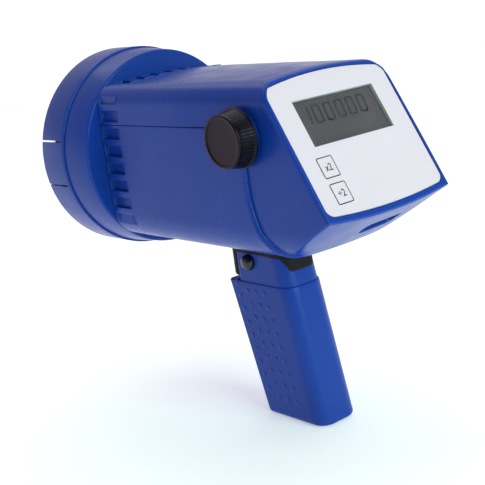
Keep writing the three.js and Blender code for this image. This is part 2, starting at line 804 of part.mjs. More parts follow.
function lowerHousing() {
  const columns = caseScrewPlaces.map(([x, y]) =>
    rod([x, y, bottomInside - 1], [x, y, body.partingZ], screw.boss),
  );
  const headBosses = headScrewPlaces.slice(2).map(([x, z]) => joined(
    rod([x, neckFrontY, z], [x, neckFrontY + headBossLength, z], screw.boss - 1),
    block([x - 3, x + 3], [neckFrontY, neckFrontY + headBossLength], [bottomInside - 0.5, z]),
  ));
  const posts = boardPosts.map(([x, y]) =>
    rod([x, y, bottomInside - 1], [x, y, mainBoardZ - fitGap], board.postRadius),
  );
  const springWall = block([-12, 12], [springWallY, springWallY + wall], [springZ - 3.4, gripTopZ]);
  const capBosses = capScrewPlaces.map((y) => capBoss(y));
  const whole = joined(hollowHandle(), ...columns, ...headBosses, ...posts, springWall, ...capBosses);

  const insideX = grip.halfWidth - wall;
  const lockAt = (x) => [x, lock.y, lock.z];
  const lockRadius = lock.radius + slideGap;
  const lockHole = rod(lockAt(insideX - 6), lockAt(grip.halfWidth + 6), lockRadius, { sides: 32 });
  const wellX = insideX - fitGap - lock.collarThickness - lock.travel - slideGap;
  const lockWell = rod(lockAt(wellX), lockAt(insideX), lockRadius + lock.collar);
  const [slotX, slotZ] = slotPlace(slideGap);
  const triggerSlot = block(slotX, [grip.recessY - 1, grip.recessY + wall + 1], slotZ);
  const seatTop = caseScrewSeat + wall;
  const drills = [
    ...caseScrewPlaces.flatMap(([x, y]) => [
      rod([x, y, body.bottom - 2], [x, y, caseScrewSeat], screw.counterbore),
      rod([x, y, 0], [x, y, seatTop + 20], screw.clearance, { sides: 16 }),
    ]),
    ...capScrewPlaces.map((y) => rod([0, y, grip.baseZ], [0, y, capTopZ + 10], screw.pilot, { sides: 16 })),
    rod([30, knob.y, knob.z], [60, knob.y, knob.z], encoder.bushRadius + fitGap),
  ];
  return cut(whole, lockHole, lockWell, triggerSlot, ...headPilots(), ...drills, ...finSlots());
}

// Base cap of the grip, with the tripod thread, held by two screws.
const capFrontY = gripFront(grip.baseZ) + wall + fitGap;
const capRearY = gripRear(grip.baseZ) - wall - fitGap;
const tripodY = capFrontY + tripod.behindFront;
const capScrewPlaces = [capFrontY + 3.6, capRearY - 4.2];
const capBossHeight = 11;

// A screw boss above the cap, carried by the nearest wall of the grip.
function capBoss(y) {
  const bossReach = 6;
  const bossZ = [capTopZ + fitGap, capTopZ + capBossHeight];
  const web = y < tripodY ? [y - bossReach, y] : [y, y + bossReach];
  const rings = [grip.baseZ, grip.raiseZ].map((z) => gripRing(z, gripFront(z), { inset: wall / 2 }));
  const boss = joined(rod([0, y, bossZ[0]], [0, y, bossZ[1]], 3), block([-2, 2], web, bossZ));
  return boss.intersect(loft(rings));
}

function addGripBase() {
  const floorZ = grip.baseZ;
  const atTripod = (z) => [0, tripodY, z];
  const plate = loft([floorZ, capTopZ].map((z) => gripRing(z, gripFront(z), { inset: wall + fitGap })));
  const sleeveTop = floorZ + tripod.height + tripod.sleeveWall;
  const sleeve = rod(atTripod(floorZ + 1), atTripod(sleeveTop), tripod.radius + tripod.sleeveWall);
  const holes = capScrewPlaces.flatMap((y) => [
    rod([0, y, floorZ - 1], [0, y, capTopZ + 1], screw.clearance, { sides: 16 }),
    rod([0, y, floorZ - 1], [0, y, floorZ + screw.headHeight + 0.1], screw.counterbore, { sides: 20 }),
  ]);
  const insertTop = floorZ + tripod.height;
  const insertHole = rod(atTripod(floorZ - 1), atTripod(insertTop), tripod.radius + fitGap, { sides: 32 });
  addPiece(object, "grip_base_cap", cut(joined(plate, sleeve), insertHole, ...holes), look.shell);
  const insert = cut(
    rod(atTripod(floorZ), atTripod(insertTop - fitGap), tripod.radius, { sides: 32 }),
    rod(atTripod(floorZ - 1), atTripod(insertTop - 1.4), tripod.hole, { sides: 24 }),
  );
  addPiece(object, "tripod_insert", insert, look.brass);
  capScrewPlaces.forEach((y, i) => {
    const headTop = floorZ + screw.headHeight - 0.2;
    const solid = joined(
      rod([0, y, floorZ + 0.3], [0, y, headTop], screw.head, { sides: 16 }),
      rod([0, y, headTop - 0.2], [0, y, capTopZ + 8], screw.shank, { sides: 12 }),
    );
    addPiece(object, `cap_screw_${i + 1}`, solid, look.steel);
  });
}

function addCaseScrews() {
  const names = ["front_right", "front_left", "rear_right", "rear_left"];
  caseScrewPlaces.forEach(([x, y], i) => {
    const headTop = caseScrewSeat - fitGap;
    const solid = joined(
      rod([x, y, headTop - screw.headHeight], [x, y, headTop], screw.head, { sides: 16 }),
      rod([x, y, headTop - 0.2], [x, y, body.partingZ + screw.engaged + 2], screw.shank, { sides: 12 }),
    );
    addPiece(object, `case_screw_${names[i]}`, solid, look.steel);
  });
}

// ---------------------------------------------------------------- trigger and lock button
function addTrigger() {
  const { halfWidth, top, bottom, headHalfWidth, headTop, headBottom, headThickness } = trigger;
  const { proud, flange, flangeThickness } = trigger;
  const backY = grip.recessY + wall + fitGap;
  const frontY = grip.recessY - proud;
  const head = loft([[1.4, 0], [0.4, 0.6], [0, 1.6], [0, headThickness]].map(([inset, y]) => [
    [inset - headHalfWidth, frontY + y, headBottom + inset],
    [headHalfWidth - inset, frontY + y, headBottom + inset],
    [headHalfWidth - inset, frontY + y, headTop - inset],
    [inset - headHalfWidth, frontY + y, headTop - inset],
  ]));
  const stem = block([-halfWidth, halfWidth], [frontY + headThickness - 1, backY + 0.5], [bottom, top]);
  const plate = block(
    [-halfWidth - flange, halfWidth + flange],
    [backY, backY + flangeThickness],
    [bottom - flange, top + flange - 0.4],
  );
  const post = rod([0, backY + 1, springZ], [0, springY + 2.5, springZ], 1.6, { sides: 16 });
  addPiece(object, "trigger", joined(head, stem, plate, post), look.black);

  const switchY = springY + trigger.travel + 1.2;
  const microswitch = joined(
    block([-6.4, 6.4], [switchY + 1, switchY + 7.5], [bottom - 0.5, bottom + 5.3]),
    block([-3, -1], [switchY, switchY + 1.5], [bottom + 1.4, bottom + 3.4]),
  );
  addPiece(object, "trigger_switch", microswitch, look.black);

  addPiece(object, "trigger_spring", helix({
    radius: 2.7,
    wire: 0.35,
    turns: 6,
    from: springY + fitGap + 0.35,
    to: springWallY - fitGap - 0.35,
    z: springZ,
  }), look.steel);
}

// A coil spring along Y, centred on X = 0.
function helix({ radius, wire, turns, from, to, z }) {
  class Coil extends THREE.Curve {
    getPoint(share) {
      const angle = share * turns * 2 * Math.PI;
      const y = from + (to - from) * share;
      return new THREE.Vector3(radius * Math.cos(angle), y, z + radius * Math.sin(angle));
    }
  }
  const section = new THREE.Shape();
  section.absarc(0, 0, wire, 0, 2 * Math.PI, false);
  const sweep = { steps: turns * 9, curveSegments: 3, extrudePath: new Coil() };
  return solidFrom(new THREE.ExtrudeGeometry(section, sweep));
}

function addLockButton() {
  const { y, z, radius, proud } = lock;
  const face = grip.halfWidth;
  const inside = face - wall - fitGap;
  const profile = [[0, 0], [radius, 0], [radius, face + proud * 0.35 - inside]];
  const steps = 4;
  for (let k = 1; k <= steps; k += 1) {
    const angle = (Math.PI / 2) * (k / steps);
    profile.push([radius * Math.cos(angle), face + proud * (0.35 + 0.65 * Math.sin(angle)) - inside]);
  }
  const points = profile.map(([r, h]) => new THREE.Vector2(Math.max(r, 0), h));
  points.push(points[0].clone());
  const dome = solidFrom(new THREE.LatheGeometry(points, 32));
  const collar = rod([0, -lock.collarThickness, 0], [0, 0.01, 0], radius + lock.collar, { sides: 32 });
  const mesh = addPiece(object, "lock_button", joined(dome, collar), look.black);
  mesh.rotation.z = -Math.PI / 2;
  mesh.position.set(inside, y, z);
}

// ---------------------------------------------------------------- speed knob and encoder
const knobBackX = body.frontHalfWidth + 0.5;

function addKnob() {
  const frame = new THREE.Group();
  frame.position.set(0, knob.y, knob.z);
  object.add(frame);
  const ring = (radius, x) =>
    Array.from({ length: knob.teeth * 2 }, (_, k) => {
      const angle = (Math.PI * k) / knob.teeth;
      const r = radius - (k % 2) * knob.toothDepth;
      return [x, r * Math.cos(angle), r * Math.sin(angle)];
    });
  const smooth = (radius, x) =>
    Array.from({ length: knob.teeth * 2 }, (_, k) => {
      const angle = (Math.PI * k) / knob.teeth;
      return [x, radius * Math.cos(angle), radius * Math.sin(angle)];
    });
  const { baseRadius, frontRadius, length } = knob;
  const frontX = knobBackX + length;
  const skin = loft([
    smooth(baseRadius, knobBackX),
    smooth(baseRadius, knobBackX + 1.2),
    ring(baseRadius - 0.3, knobBackX + 1.4),
    ring(frontRadius + 0.1, frontX - 1.1),
    smooth(frontRadius, frontX - 0.9),
    smooth(frontRadius - 0.2, frontX - 0.3),
    smooth(frontRadius - 0.9, frontX),
  ]);
  const along = (x) => [x, 0, 0];
  const dishRadius = frontRadius - knob.dishRim;
  const dish = rod(along(frontX - knob.dishDepth), along(frontX + 1), dishRadius, { sides: 40 });
  const hollowX = knobBackX + knob.hollowDepth;
  const hollow = rod(along(knobBackX - 1), along(hollowX), knob.hollowRadius, { sides: 32 });
  const boreRadius = encoder.shaftRadius + fitGap * 2;
  const bore = rod(along(knobBackX), along(frontX - 2), boreRadius);
  addPiece(frame, "speed_knob", cut(skin, dish, hollow, bore), look.black);

  const wallInside = body.rearHalfWidth - wall - fitGap - 0.6;
  const bushEnd = hollowX - 1;
  const half = encoder.side / 2;
  const housing = joined(
    block([wallInside - encoder.depth, wallInside], [-half, half], [-half, half]),
    rod(along(wallInside - 1), along(bushEnd), encoder.bushRadius, { sides: 28 }),
  );
  const shaftRear = wallInside - 3.5;
  const shaftHoleRadius = encoder.shaftRadius + slideGap;
  const shaftHole = rod(along(shaftRear - 0.5), along(bushEnd + 1), shaftHoleRadius, { sides: 28 });
  addPiece(frame, "encoder_body", cut(housing, shaftHole), look.steel);
  const shaft = rod(along(shaftRear), along(frontX - 2.4), encoder.shaftRadius, { sides: 28 });
  addPiece(frame, "encoder_shaft", shaft, look.brass);
  const washerX = body.frontHalfWidth + fitGap;
  const washerThickness = 0.6;
  const hole = rod(along(0), along(80), encoder.bushRadius + fitGap, { sides: 28 });
  const disc = rod(along(washerX), along(washerX + washerThickness), encoder.nutRadius + 0.2, { sides: 32 });
  addPiece(frame, "encoder_washer", cut(disc, hole), look.steel);
  const nutX = washerX + washerThickness + fitGap;
  const nut = cut(rod(along(nutX), along(nutX + encoder.nutHeight), encoder.nutRadius, { sides: 6 }), hole);
  addPiece(frame, "encoder_nut", nut, look.steel);
}

// ---------------------------------------------------------------- electronics and battery
const mainBoardZ = -22;
const boardPosts = [[-23, 84], [23, 84], [-23, 172], [23, 172]];

function addElectronics() {
  const plate = block([-27, 27], [76, 178], [mainBoardZ, mainBoardZ + board.thickness]);
  addPiece(object, "main_board", plate, look.board);
  const top = mainBoardZ + board.thickness + fitGap;
  const canRadius = 12;
  const canZ = top + canRadius;
  const capacitor = rod([-14, 84, canZ], [-14, 128, canZ], canRadius, { sides: 32 });
  addPiece(object, "flash_capacitor", capacitor, look.sleeve);
  const core = joined(
    block([4, 26], [100, 122], [top, top + 5]),
    block([4, 26], [100, 122], [top + 13, top + 18]),
    block([7, 23], [104, 118], [top + 4, top + 14]),
  );
  addPiece(object, "inverter_transformer", core, look.copper);
  const pulse = rod([16, 82, top + 7], [16, 94, top + 7], 6.8, { sides: 28 });
  addPiece(object, "trigger_transformer", pulse, look.copper);
  const sink = joined(
    block([-23, 23], [150, 152], [top, top + 24]),
    ...[-23, -12, -1, 10, 21].map((x) => block([x, x + 2], [151, 158], [top, top + 24])),
  );
  addPiece(object, "heat_sink", sink, look.steel);
}

// Two columns of cells in line with the grip's rake.
function addBattery() {
  const rake = Math.atan((grip.frontRake + grip.rearRake) / 2);
  const frame = new THREE.Group();
  const footZ = capTopZ + capBossHeight + 5;
  frame.position.set(0, (gripFront(footZ) + gripRear(footZ)) / 2, footZ);
  frame.rotation.x = rake;
  object.add(frame);
  const halfPitch = cell.radius + cell.gap / 2;
  const canLength = cell.length - cell.tipHeight;
  const places = [-halfPitch, halfPitch].flatMap((y) => [0, cell.length + cell.gap * 1.5].map((z) => [y, z]));
  places.forEach(([y, z], i) => {
    const solid = joined(
      rod([0, y, z], [0, y, z + canLength], cell.radius, { sides: 24 }),
      rod([0, y, z + canLength - 0.5], [0, y, z + cell.length], cell.tipRadius, { sides: 12 }),
    );
    addPiece(frame, `battery_cell_${i + 1}`, solid, look.sleeve);
  });
  const strap = block([-3, 3], [-cell.radius * 1.6, cell.radius * 1.6], [-0.6, -fitGap]);
  addPiece(frame, "battery_strap", strap, look.steel);
}

addLampHead();
addPiece(object, "upper_housing", upperHousing(), look.shell);
addPiece(object, "lower_housing", lowerHousing(), look.shell);
addCaseScrews();
addGripBase();
addPanel();
addJacks();
addTrigger();
addLockButton();
addKnob();
addElectronics();
addBattery();

// The origin is on the flat land of the base cap, between the tripod insert and the rear screw.
const seatFront = tripodY + tripod.radius;
const seatRear = capScrewPlaces[1] - screw.counterbore;
object.position.set(0, -(seatFront + seatRear) / 2, -grip.baseZ);

export default object;
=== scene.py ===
"""Looks for the hand-held battery stroboscope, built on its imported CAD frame.

Shapes are laid out in millimetres from the lamp: y = 0 at the front rim, z = 0 on the lamp axis.
place() turns them into metres in the row frame, from where the CAD's bezel is.
"""
import json
import math
from math import cos, pi, sin

import bmesh
import bpy
import numpy as np
from mathutils import Matrix, Vector, geometry


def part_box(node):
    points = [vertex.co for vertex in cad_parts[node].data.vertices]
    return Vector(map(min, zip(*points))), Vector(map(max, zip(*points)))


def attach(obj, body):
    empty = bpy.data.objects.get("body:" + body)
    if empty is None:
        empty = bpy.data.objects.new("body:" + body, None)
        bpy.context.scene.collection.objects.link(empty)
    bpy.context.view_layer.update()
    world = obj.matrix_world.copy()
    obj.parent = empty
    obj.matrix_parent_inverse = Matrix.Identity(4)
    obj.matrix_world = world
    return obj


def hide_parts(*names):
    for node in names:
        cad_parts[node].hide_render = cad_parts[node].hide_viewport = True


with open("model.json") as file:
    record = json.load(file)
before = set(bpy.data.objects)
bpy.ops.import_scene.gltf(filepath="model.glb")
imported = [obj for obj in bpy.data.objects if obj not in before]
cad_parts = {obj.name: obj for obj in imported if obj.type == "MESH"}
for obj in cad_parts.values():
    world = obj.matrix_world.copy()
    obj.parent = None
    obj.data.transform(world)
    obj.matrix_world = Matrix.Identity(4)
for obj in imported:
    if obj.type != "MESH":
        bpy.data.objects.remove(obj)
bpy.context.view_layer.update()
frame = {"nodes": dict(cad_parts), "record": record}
nodes = frame["nodes"]

MM = 0.001
rim_low, rim_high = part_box("lamp_bezel")
LAMP = np.array([0.0, rim_low.y, (rim_low.z + rim_high.z) / 2])


def place(points):
    return np.asarray(points, float) * MM + LAMP


def box_in_mm(node):
    return [(np.array(corner) - LAMP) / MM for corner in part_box(node)]


def turn(count):
    """Angles of so many points once round."""
    return np.linspace(0, 2 * pi, count, endpoint=False)


# ---- sizes, in mm
GAP = 0.3
WALL = 2.4
RIM = (rim_high.x - rim_low.x) / 2 / MM  # lamp radius
BEZEL_REAR = 25.0
BEZEL_INNER = RIM - 3.2
SLOT_HALF = 0.55
TAB_ANGLE = math.radians(12.8)
TAB_LENGTH = 22.0
HOOD = 7.0
DRUM = RIM - 1.0
DRUM_REAR = 47.3
DRUM_TAPER = 1.8
SPIGOT = BEZEL_INNER - GAP
SPIGOT_INNER = SPIGOT - 2.2
LENS_FRONT, LENS_REAR = 7.3, 9.8
BOWL_FRONT, BOWL_DEPTH, BOWL_HOLE = 12.6, 29.0, 9.0

NECK_FRONT = DRUM_REAR + GAP
POCKET_FRONT, POCKET_REAR = 49.4, 66.3
POCKET_PITCH, POCKET_HALF, POCKET_DEPTH = 10.2, 3.1, 2.1
BODY_FRONT_HALF, BODY_REAR_HALF = 46.6, 44.4
BODY_TOP, BODY_CROWN, BODY_BOTTOM = 42.6, 3.0, -47.6
TOP_RADIUS, BOTTOM_RADIUS, SIDE_BOW = 10.0, 18.0, 0.8
NARROWS_FROM, NARROWS_TO = 115.0, 178.0
PARTING = 21.6
CHEEK_Y, CHEEK_ARC, CHEEK_ARC_Z = 174.5, 56.0, -8.0
KNOB_PAD_Y, KNOB_PAD_Z = 173.7, 17.6

PANEL_Y, PANEL_Z, PANEL_LENGTH, PANEL_BOW = 188.6, 44.4, 81.6, 3.2
TILT = math.radians(59.45)
COS, SIN = cos(TILT), sin(TILT)
RECESS = 1.3
LABEL_HALF, LABEL_TOP, LABEL_BOTTOM = 41.6, 0.9, 77.8
LABEL_TOP_BOW, LABEL_BOTTOM_BOW, LABEL_CORNER = 4.2, 2.6, 4.5
LABEL_FACE, LABEL_BACK = -0.4, -1.0
WINDOW = (-28.5, 28.5, -39.9, -14.1)
KEYS = {"times_two": (-32.0, -21.4, -56.9, -45.5), "divide_two": (-32.0, -21.4, -71.1, -59.7)}
KEY_CORNER = 1.1
JACK_POCKET, JACK_POCKET_FLOOR, JACK_ROW = (-22.0, 5.0, 17.0, 28.0), -3.4, 22.5
JACK_HOLES = ((-15.5, 4.2), (-6.5, 3.4), (1.0, 3.4))  # x and radius
LCD_FACE = -2.3

GRIP_HALF, GRIP_RAISE, GRIP_STEP, GRIP_FOOT = 13.6, 0.6, -73.5, -152.6
GRIP_FRONT, GRIP_FRONT_RAKE = 107.2, 0.2604
GRIP_REAR, GRIP_REAR_RAKE = 158.3, 0.1947
GRIP_FRONT_RADIUS, GRIP_REAR_RADIUS = 2.4, 9.0
TRIGGER_FACE = 115.9
TRIGGER_THICKNESS = 4.3
STEM_HALF, STEM_BOTTOM, STEM_TOP = 8.0, -70.5, -51.0


def show(thing):
    bpy.context.scene.collection.objects.link(thing)


# ---- mesh building
class Skin:
    """Gathers patches of faces, then welds them into one smooth-shaded piece."""

    def __init__(self):
        self.points = []
        self.faces = []

    def add(self, points):
        first = len(self.points)
        self.points.extend(np.asarray(points, float).reshape(-1, 3).tolist())
        return first

    def grid(self, rows, closed=False, skip=None):
        """rows[i][j] is a point; closed joins the last point of each row to its first."""
        rows = np.asarray(rows, float)
        count, width = rows.shape[:2]
        first = self.add(rows)
        for i in range(count - 1):
            for j in range(width if closed else width - 1):
                if skip is not None and skip(i, j):
                    continue
                k = (j + 1) % width
                a, b = first + i * width, first + (i + 1) * width
                self.faces.append((a + j, a + k, b + k, b + j))

    def cap(self, loop):
        first = self.add(loop)
        self.faces.append(tuple(range(first, first + len(loop))))

    def solid(self, rows):
        self.grid(rows, closed=True)
        self.cap(rows[0])
        self.cap(rows[-1])

    def fill(self, outer, holes, lift, inner=()):
        """Triangles between flat outlines; lift turns a flat point into a point in space."""
        flat, edges = [], []
        for loop in [outer, *holes]:
            first = len(flat)
            flat.extend(Vector(p) for p in loop)
            edges.extend((first + i, first + (i + 1) % len(loop)) for i in range(len(loop)))
        flat.extend(Vector(p) for p in inner)
        points, _, faces, *_ = geometry.delaunay_2d_cdt(flat, edges, [], 0, 1e-5)
        first = self.add([lift(p.x, p.y) for p in points])
        for face in faces:
            middle = sum((points[i] for i in face), Vector((0, 0))) / len(face)
            if inside(middle, outer) and not any(inside(middle, hole) for hole in holes):
                self.faces.append(tuple(first + i for i in face))

    def make(self, name, material, body="root", stands_for=(), sharp=32):
        mesh = bpy.data.meshes.new(name)
        mesh.from_pydata(place(self.points).tolist(), [], self.faces)
        work = bmesh.new()
        work.from_mesh(mesh)
        bmesh.ops.remove_doubles(work, verts=work.verts, dist=2e-6)
        bmesh.ops.dissolve_degenerate(work, edges=work.edges, dist=1e-6)
        bmesh.ops.recalc_face_normals(work, faces=work.faces)
        work.to_mesh(mesh)
        work.free()
        mesh.shade_smooth()
        mesh.set_sharp_from_angle(angle=math.radians(sharp))
        mesh.materials.append(material)
        piece = bpy.data.objects.new(name, mesh)
        show(piece)
        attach(piece, body)
        if stands_for:
            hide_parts(*stands_for)


def inside(point, loop):
    found = False
    for i, (x0, y0) in enumerate(loop):
        x1, y1 = loop[(i + 1) % len(loop)]
        if (y0 > point[1]) != (y1 > point[1]):
            if point[0] < (x1 - x0) * (point[1] - y0) / (y1 - y0) + x0:
                found = not found
    return found


def filleted(corners, steps=4):
    """Corners are (a, b, radius); returns the closed outline with each corner rounded."""
    outline = []
    for i, (a, b, radius) in enumerate(corners):
        here = np.array([a, b])
        before = np.array(corners[i - 1][:2]) - here
        after = np.array(corners[(i + 1) % len(corners)][:2]) - here
        if radius <= 0:
            outline.append(here)
            continue
        before, after = before / np.linalg.norm(before), after / np.linalg.norm(after)
        half = math.acos(np.clip(before @ after, -1, 1)) / 2
        reach = radius / math.tan(half)
        centre = here + (before + after) / np.linalg.norm(before + after) * radius / sin(half)
        start, end = here + before * reach - centre, here + after * reach - centre
        sweep = pi - 2 * half
        for k in range(steps + 1):
            t = k / steps
            mix = (sin((1 - t) * sweep) * start + sin(t * sweep) * end) / sin(sweep)
            outline.append(centre + mix)
    return np.array(outline)


def lathe(profile, segments):
    """Rows of a [radius, y] outline turned about the lamp axis."""
    return [[(r * cos(a), y, r * sin(a)) for a in turn(segments)] for r, y in profile]


def turned_piece(profile, name, material, stands_for, segments=192, sharp=32):
    skin = Skin()
    skin.grid(lathe([*profile, profile[0]], segments), closed=True)
    skin.make(name, material, stands_for=stands_for, sharp=sharp)


# ---- materials
def new_material(name):
    made = bpy.data.materials.new(name)
    made.use_nodes = True
    tree = made.node_tree
    return made, tree, tree.nodes["Principled BSDF"]


def link(tree, source, target):
    tree.links.new(source, target)


def noise(tree, scale, detail):
    coords = tree.nodes.new("ShaderNodeTexCoord")
    texture = tree.nodes.new("ShaderNodeTexNoise")
    texture.inputs["Scale"].default_value = scale
    texture.inputs["Detail"].default_value = detail
    link(tree, coords.outputs["Object"], texture.inputs["Vector"])
    return texture.outputs["Fac"]


def ramp(tree, factor, stops):
    made = tree.nodes.new("ShaderNodeValToRGB")
    elements = made.color_ramp.elements
    while len(elements) < len(stops):
        elements.new(0.5)
    for element, (at, colour) in zip(elements, stops):
        element.position = at
        element.color = (*colour, 1)
    link(tree, factor, made.inputs["Fac"])
    return made.outputs["Color"]


def scaled(tree, factor, low, high):
    made = tree.nodes.new("ShaderNodeMapRange")
    made.inputs["From Min"].default_value = 0.3
    made.inputs["From Max"].default_value = 0.7
    made.inputs["To Min"].default_value = low
    made.inputs["To Max"].default_value = high
    link(tree, factor, made.inputs["Value"])
    return made.outputs["Result"]


def surface(name, colour, roughness, grain=1800.0, depth=0.02, spread=0.06, **values):
    """Moulded or machined surface: slight variation of colour and gloss, and a fine grain."""
    made, tree, shader = new_material(name)
    shader.inputs["Specular IOR Level"].default_value = 0.22
    for socket, value in values.items():
        shader.inputs[socket.replace("_", " ")].default_value = value
    broad = noise(tree, 22.0, 2.0)
    tones = [(at, tuple(min(1.0, c * share) for c in colour))
             for at, share in ((0.3, 1 - spread), (0.7, 1 + spread))]
    bump = tree.nodes.new("ShaderNodeBump")
    bump.inputs["Strength"].default_value = 0.15
    bump.inputs["Distance"].default_value = depth * MM
    link(tree, noise(tree, grain, 2.0), bump.inputs["Height"])
    link(tree, ramp(tree, broad, tones), shader.inputs["Base Color"])
    link(tree, bump.outputs["Normal"], shader.inputs["Normal"])
    link(tree, scaled(tree, noise(tree, 70.0, 4.0), *roughness), shader.inputs["Roughness"])
    return made


BLUE = (0.006, 0.045, 0.32)
blue = surface("blue_moulded", BLUE, (0.24, 0.33), grain=900.0, depth=0.012, spread=0.05)
grip_blue = surface("blue_grip", BLUE, (0.28, 0.38), grain=700.0, depth=0.02, spread=0.06)
black = surface("black_satin", (0.004, 0.0035, 0.006), (0.22, 0.32), grain=1200.0, depth=0.02,
                Specular_Tint=(1.0, 0.72, 1.0, 1.0))
gloss = surface("black_gloss", (0.003, 0.003, 0.004), (0.06, 0.11), grain=600.0, depth=0.004,
                Specular_IOR_Level=0.6)
rubber = surface("rubber", (0.008, 0.006, 0.008), (0.6, 0.75), grain=1200.0, depth=0.03)
label = surface("label_film", (0.81, 0.62, 0.73), (0.30, 0.38), grain=2600.0, depth=0.006, spread=0.01)
lining = surface("window_lining", (0.50, 0.50, 0.54), (0.35, 0.45), grain=2600.0, depth=0.006, spread=0.02)
ink = surface("printed_ink", (0.020, 0.021, 0.025), (0.35, 0.45), depth=0.003)
segment = surface("lcd_segment", (0.016, 0.014, 0.016), (0.25, 0.35), depth=0.002)
lcd_glass = surface("lcd_glass", (0.098, 0.070, 0.084), (0.14, 0.20), grain=300.0, depth=0.002, spread=0.12)
ceramic = surface("ceramic", (0.76, 0.72, 0.64), (0.45, 0.6), grain=1300.0, depth=0.02)
board = surface("circuit_board", (0.015, 0.11, 0.04), (0.25, 0.4), grain=700.0, depth=0.02)
sleeve = surface("shrink_sleeve", (0.03, 0.05, 0.09), (0.2, 0.3), depth=0.02)
steel = surface("zinc_steel", (0.58, 0.59, 0.62), (0.25, 0.4), grain=900.0, depth=0.01, Metallic=1.0)
aluminium = surface("extruded_aluminium", (0.68, 0.69, 0.71), (0.3, 0.45), grain=700.0, Metallic=1.0)
brass = surface("turned_brass", (0.76, 0.55, 0.24), (0.18, 0.32), grain=900.0, depth=0.01, Metallic=1.0)
copper = surface("winding_copper", (0.65, 0.30, 0.16), (0.25, 0.4), 1500.0, 0.03, Metallic=1.0)
mirror = surface("reflector_metal", (0.86, 0.87, 0.89), (0.08, 0.16), 160.0, 0.15, Metallic=1.0)
clear = surface("clear_pane", (0.20, 0.21, 0.22), (0.03, 0.06), depth=0.001, Alpha=0.06)
lens_clear = surface("lens_clear", (0.86, 0.90, 0.92), (0.03, 0.07), grain=120.0, depth=0.03, Alpha=0.16)
tube_glass = surface("tube_glass", (0.86, 0.90, 0.94), (0.03, 0.06), depth=0.001, Alpha=0.45)

FINISH = {
    "blue_plastic": blue, "clear_plastic": clear, "tube_glass": tube_glass, "gasket_rubber": rubber,
    "reflector": mirror, "ceramic_base": ceramic, "black_plastic": black, "black_gloss": gloss,
    "circuit_board": board, "label": label, "lcd": lcd_glass, "steel": steel,
    "heat_sink_aluminium": aluminium, "brass": brass, "sleeve": sleeve, "copper": copper,
}
for part in frame["record"]["subparts"]:
    shown = nodes[part["node"]]
    shown.data.materials.clear()
    shown.data.materials.append(FINISH[part["material_slot"]])
    shown.data.shade_smooth()
    shown.data.set_sharp_from_angle(angle=math.radians(30))


# ---- lamp head
def lamp_bezel():
    """The front ring; two snap tabs a side are freed by slots that reach back to TAB_LENGTH."""
    profile = filleted([
        (BEZEL_INNER, 0, 0.5),
        (RIM, 0, 1.2),
        (RIM, TAB_LENGTH, 0),
        (RIM, BEZEL_REAR, 0.7),
        (BEZEL_INNER, BEZEL_REAR, 0.2),
        (BEZEL_INNER, TAB_LENGTH, 0),
        (BEZEL_INNER, HOOD, 0.2),
        (BEZEL_INNER - 2.6, HOOD, 0.4),
        (BEZEL_INNER - 2.6, HOOD - 1.8, 0.6),
        (BEZEL_INNER, HOOD - 1.8, 0.3),
    ])
    half = SLOT_HALF / RIM
    edges = []
    for centre in (0, pi):
        for sign in (-1, 1):
            edges.append((centre + sign * TAB_ANGLE - half, centre + sign * TAB_ANGLE + half))
    edges = sorted((a % (2 * pi), b % (2 * pi)) for a, b in edges)
    angles = []
    for i, (start, end) in enumerate(edges):
        following = edges[(i + 1) % len(edges)][0]
        if following < end:
            following += 2 * pi
        steps = max(6, round((following - end) / (2 * pi) * 220))
        angles.append(start)
        angles.extend(end + (following - end) * k / steps for k in range(steps))
    slot_cells = {angles.index(start) for start, _ in edges}
    rows = [[(r * cos(a), y, r * sin(a)) for a in angles] for r, y in [*profile, profile[0]]]
    outer = int(np.argmin(np.hypot(profile[:, 0] - RIM, profile[:, 1] - TAB_LENGTH)))
    inner = int(np.argmin(np.hypot(profile[:, 0] - BEZEL_INNER, profile[:, 1] - TAB_LENGTH)))
    skin = Skin()
    skin.grid(rows, closed=True, skip=lambda i, j: j in slot_cells and not outer <= i < inner)
    count = len(profile)
    front_part = [*range(inner, count), *range(0, outer + 1)]
    for start in slot_cells:
        after = (start + 1) % len(angles)
        for j in (start, after):
            skin.cap([rows[i][j] for i in front_part])
        skin.cap([rows[outer][start], rows[outer][after], rows[inner][after], rows[inner][start]])
    skin.make("bezel_ring", blue, stands_for=["lamp_bezel"])


lamp_bezel()

turned_piece(filleted([
    (SPIGOT_INNER, 12.0, 0.3),
    (SPIGOT, 12.0, 0.4),
    (SPIGOT, BEZEL_REAR + GAP, 0),
    (DRUM, BEZEL_REAR + GAP, 0.4),
    (DRUM - DRUM_TAPER, DRUM_REAR, 1.5),
    (38, DRUM_REAR, 0.3),
    (38, DRUM_REAR - WALL, 0),
    (SPIGOT_INNER, DRUM_REAR - WALL, 1.0),
], steps=6), "drum_shell", blue, ["lamp_drum"])


def lens_front(radius):
    ripple = 0.12 * abs((radius / 3.2) % 1 - 0.5)
    return LENS_FRONT - 1.1 * (1 - (radius / 54.5) ** 2) - ripple


lens_profile = [(r, lens_front(r)) for r in np.arange(0.02, 54.5, 0.8)]
lens_profile += [(54.8, LENS_FRONT), (58.0, LENS_FRONT), (58.0, LENS_REAR), (0.02, LENS_REAR)]
turned_piece(lens_profile, "front_lens", lens_clear, ["lamp_lens"], 128, sharp=50)


def bowl(radius):
    return BOWL_FRONT + BOWL_DEPTH * (1 - (radius / (SPIGOT_INNER - 1.3)) ** 2)


bowl_radii = np.linspace(BOWL_HOLE, SPIGOT_INNER - 1.3, 28)
bowl_profile = [(r, bowl(r)) for r in bowl_radii] + [(SPIGOT_INNER - GAP, BOWL_FRONT)]
bowl_profile += [(SPIGOT_INNER - GAP, BOWL_FRONT + 0.9)] + [(r, bowl(r) + 0.9) for r in bowl_radii[::-1]]
turned_piece(bowl_profile, "reflector_dish", mirror, ["reflector_bowl"], 160)


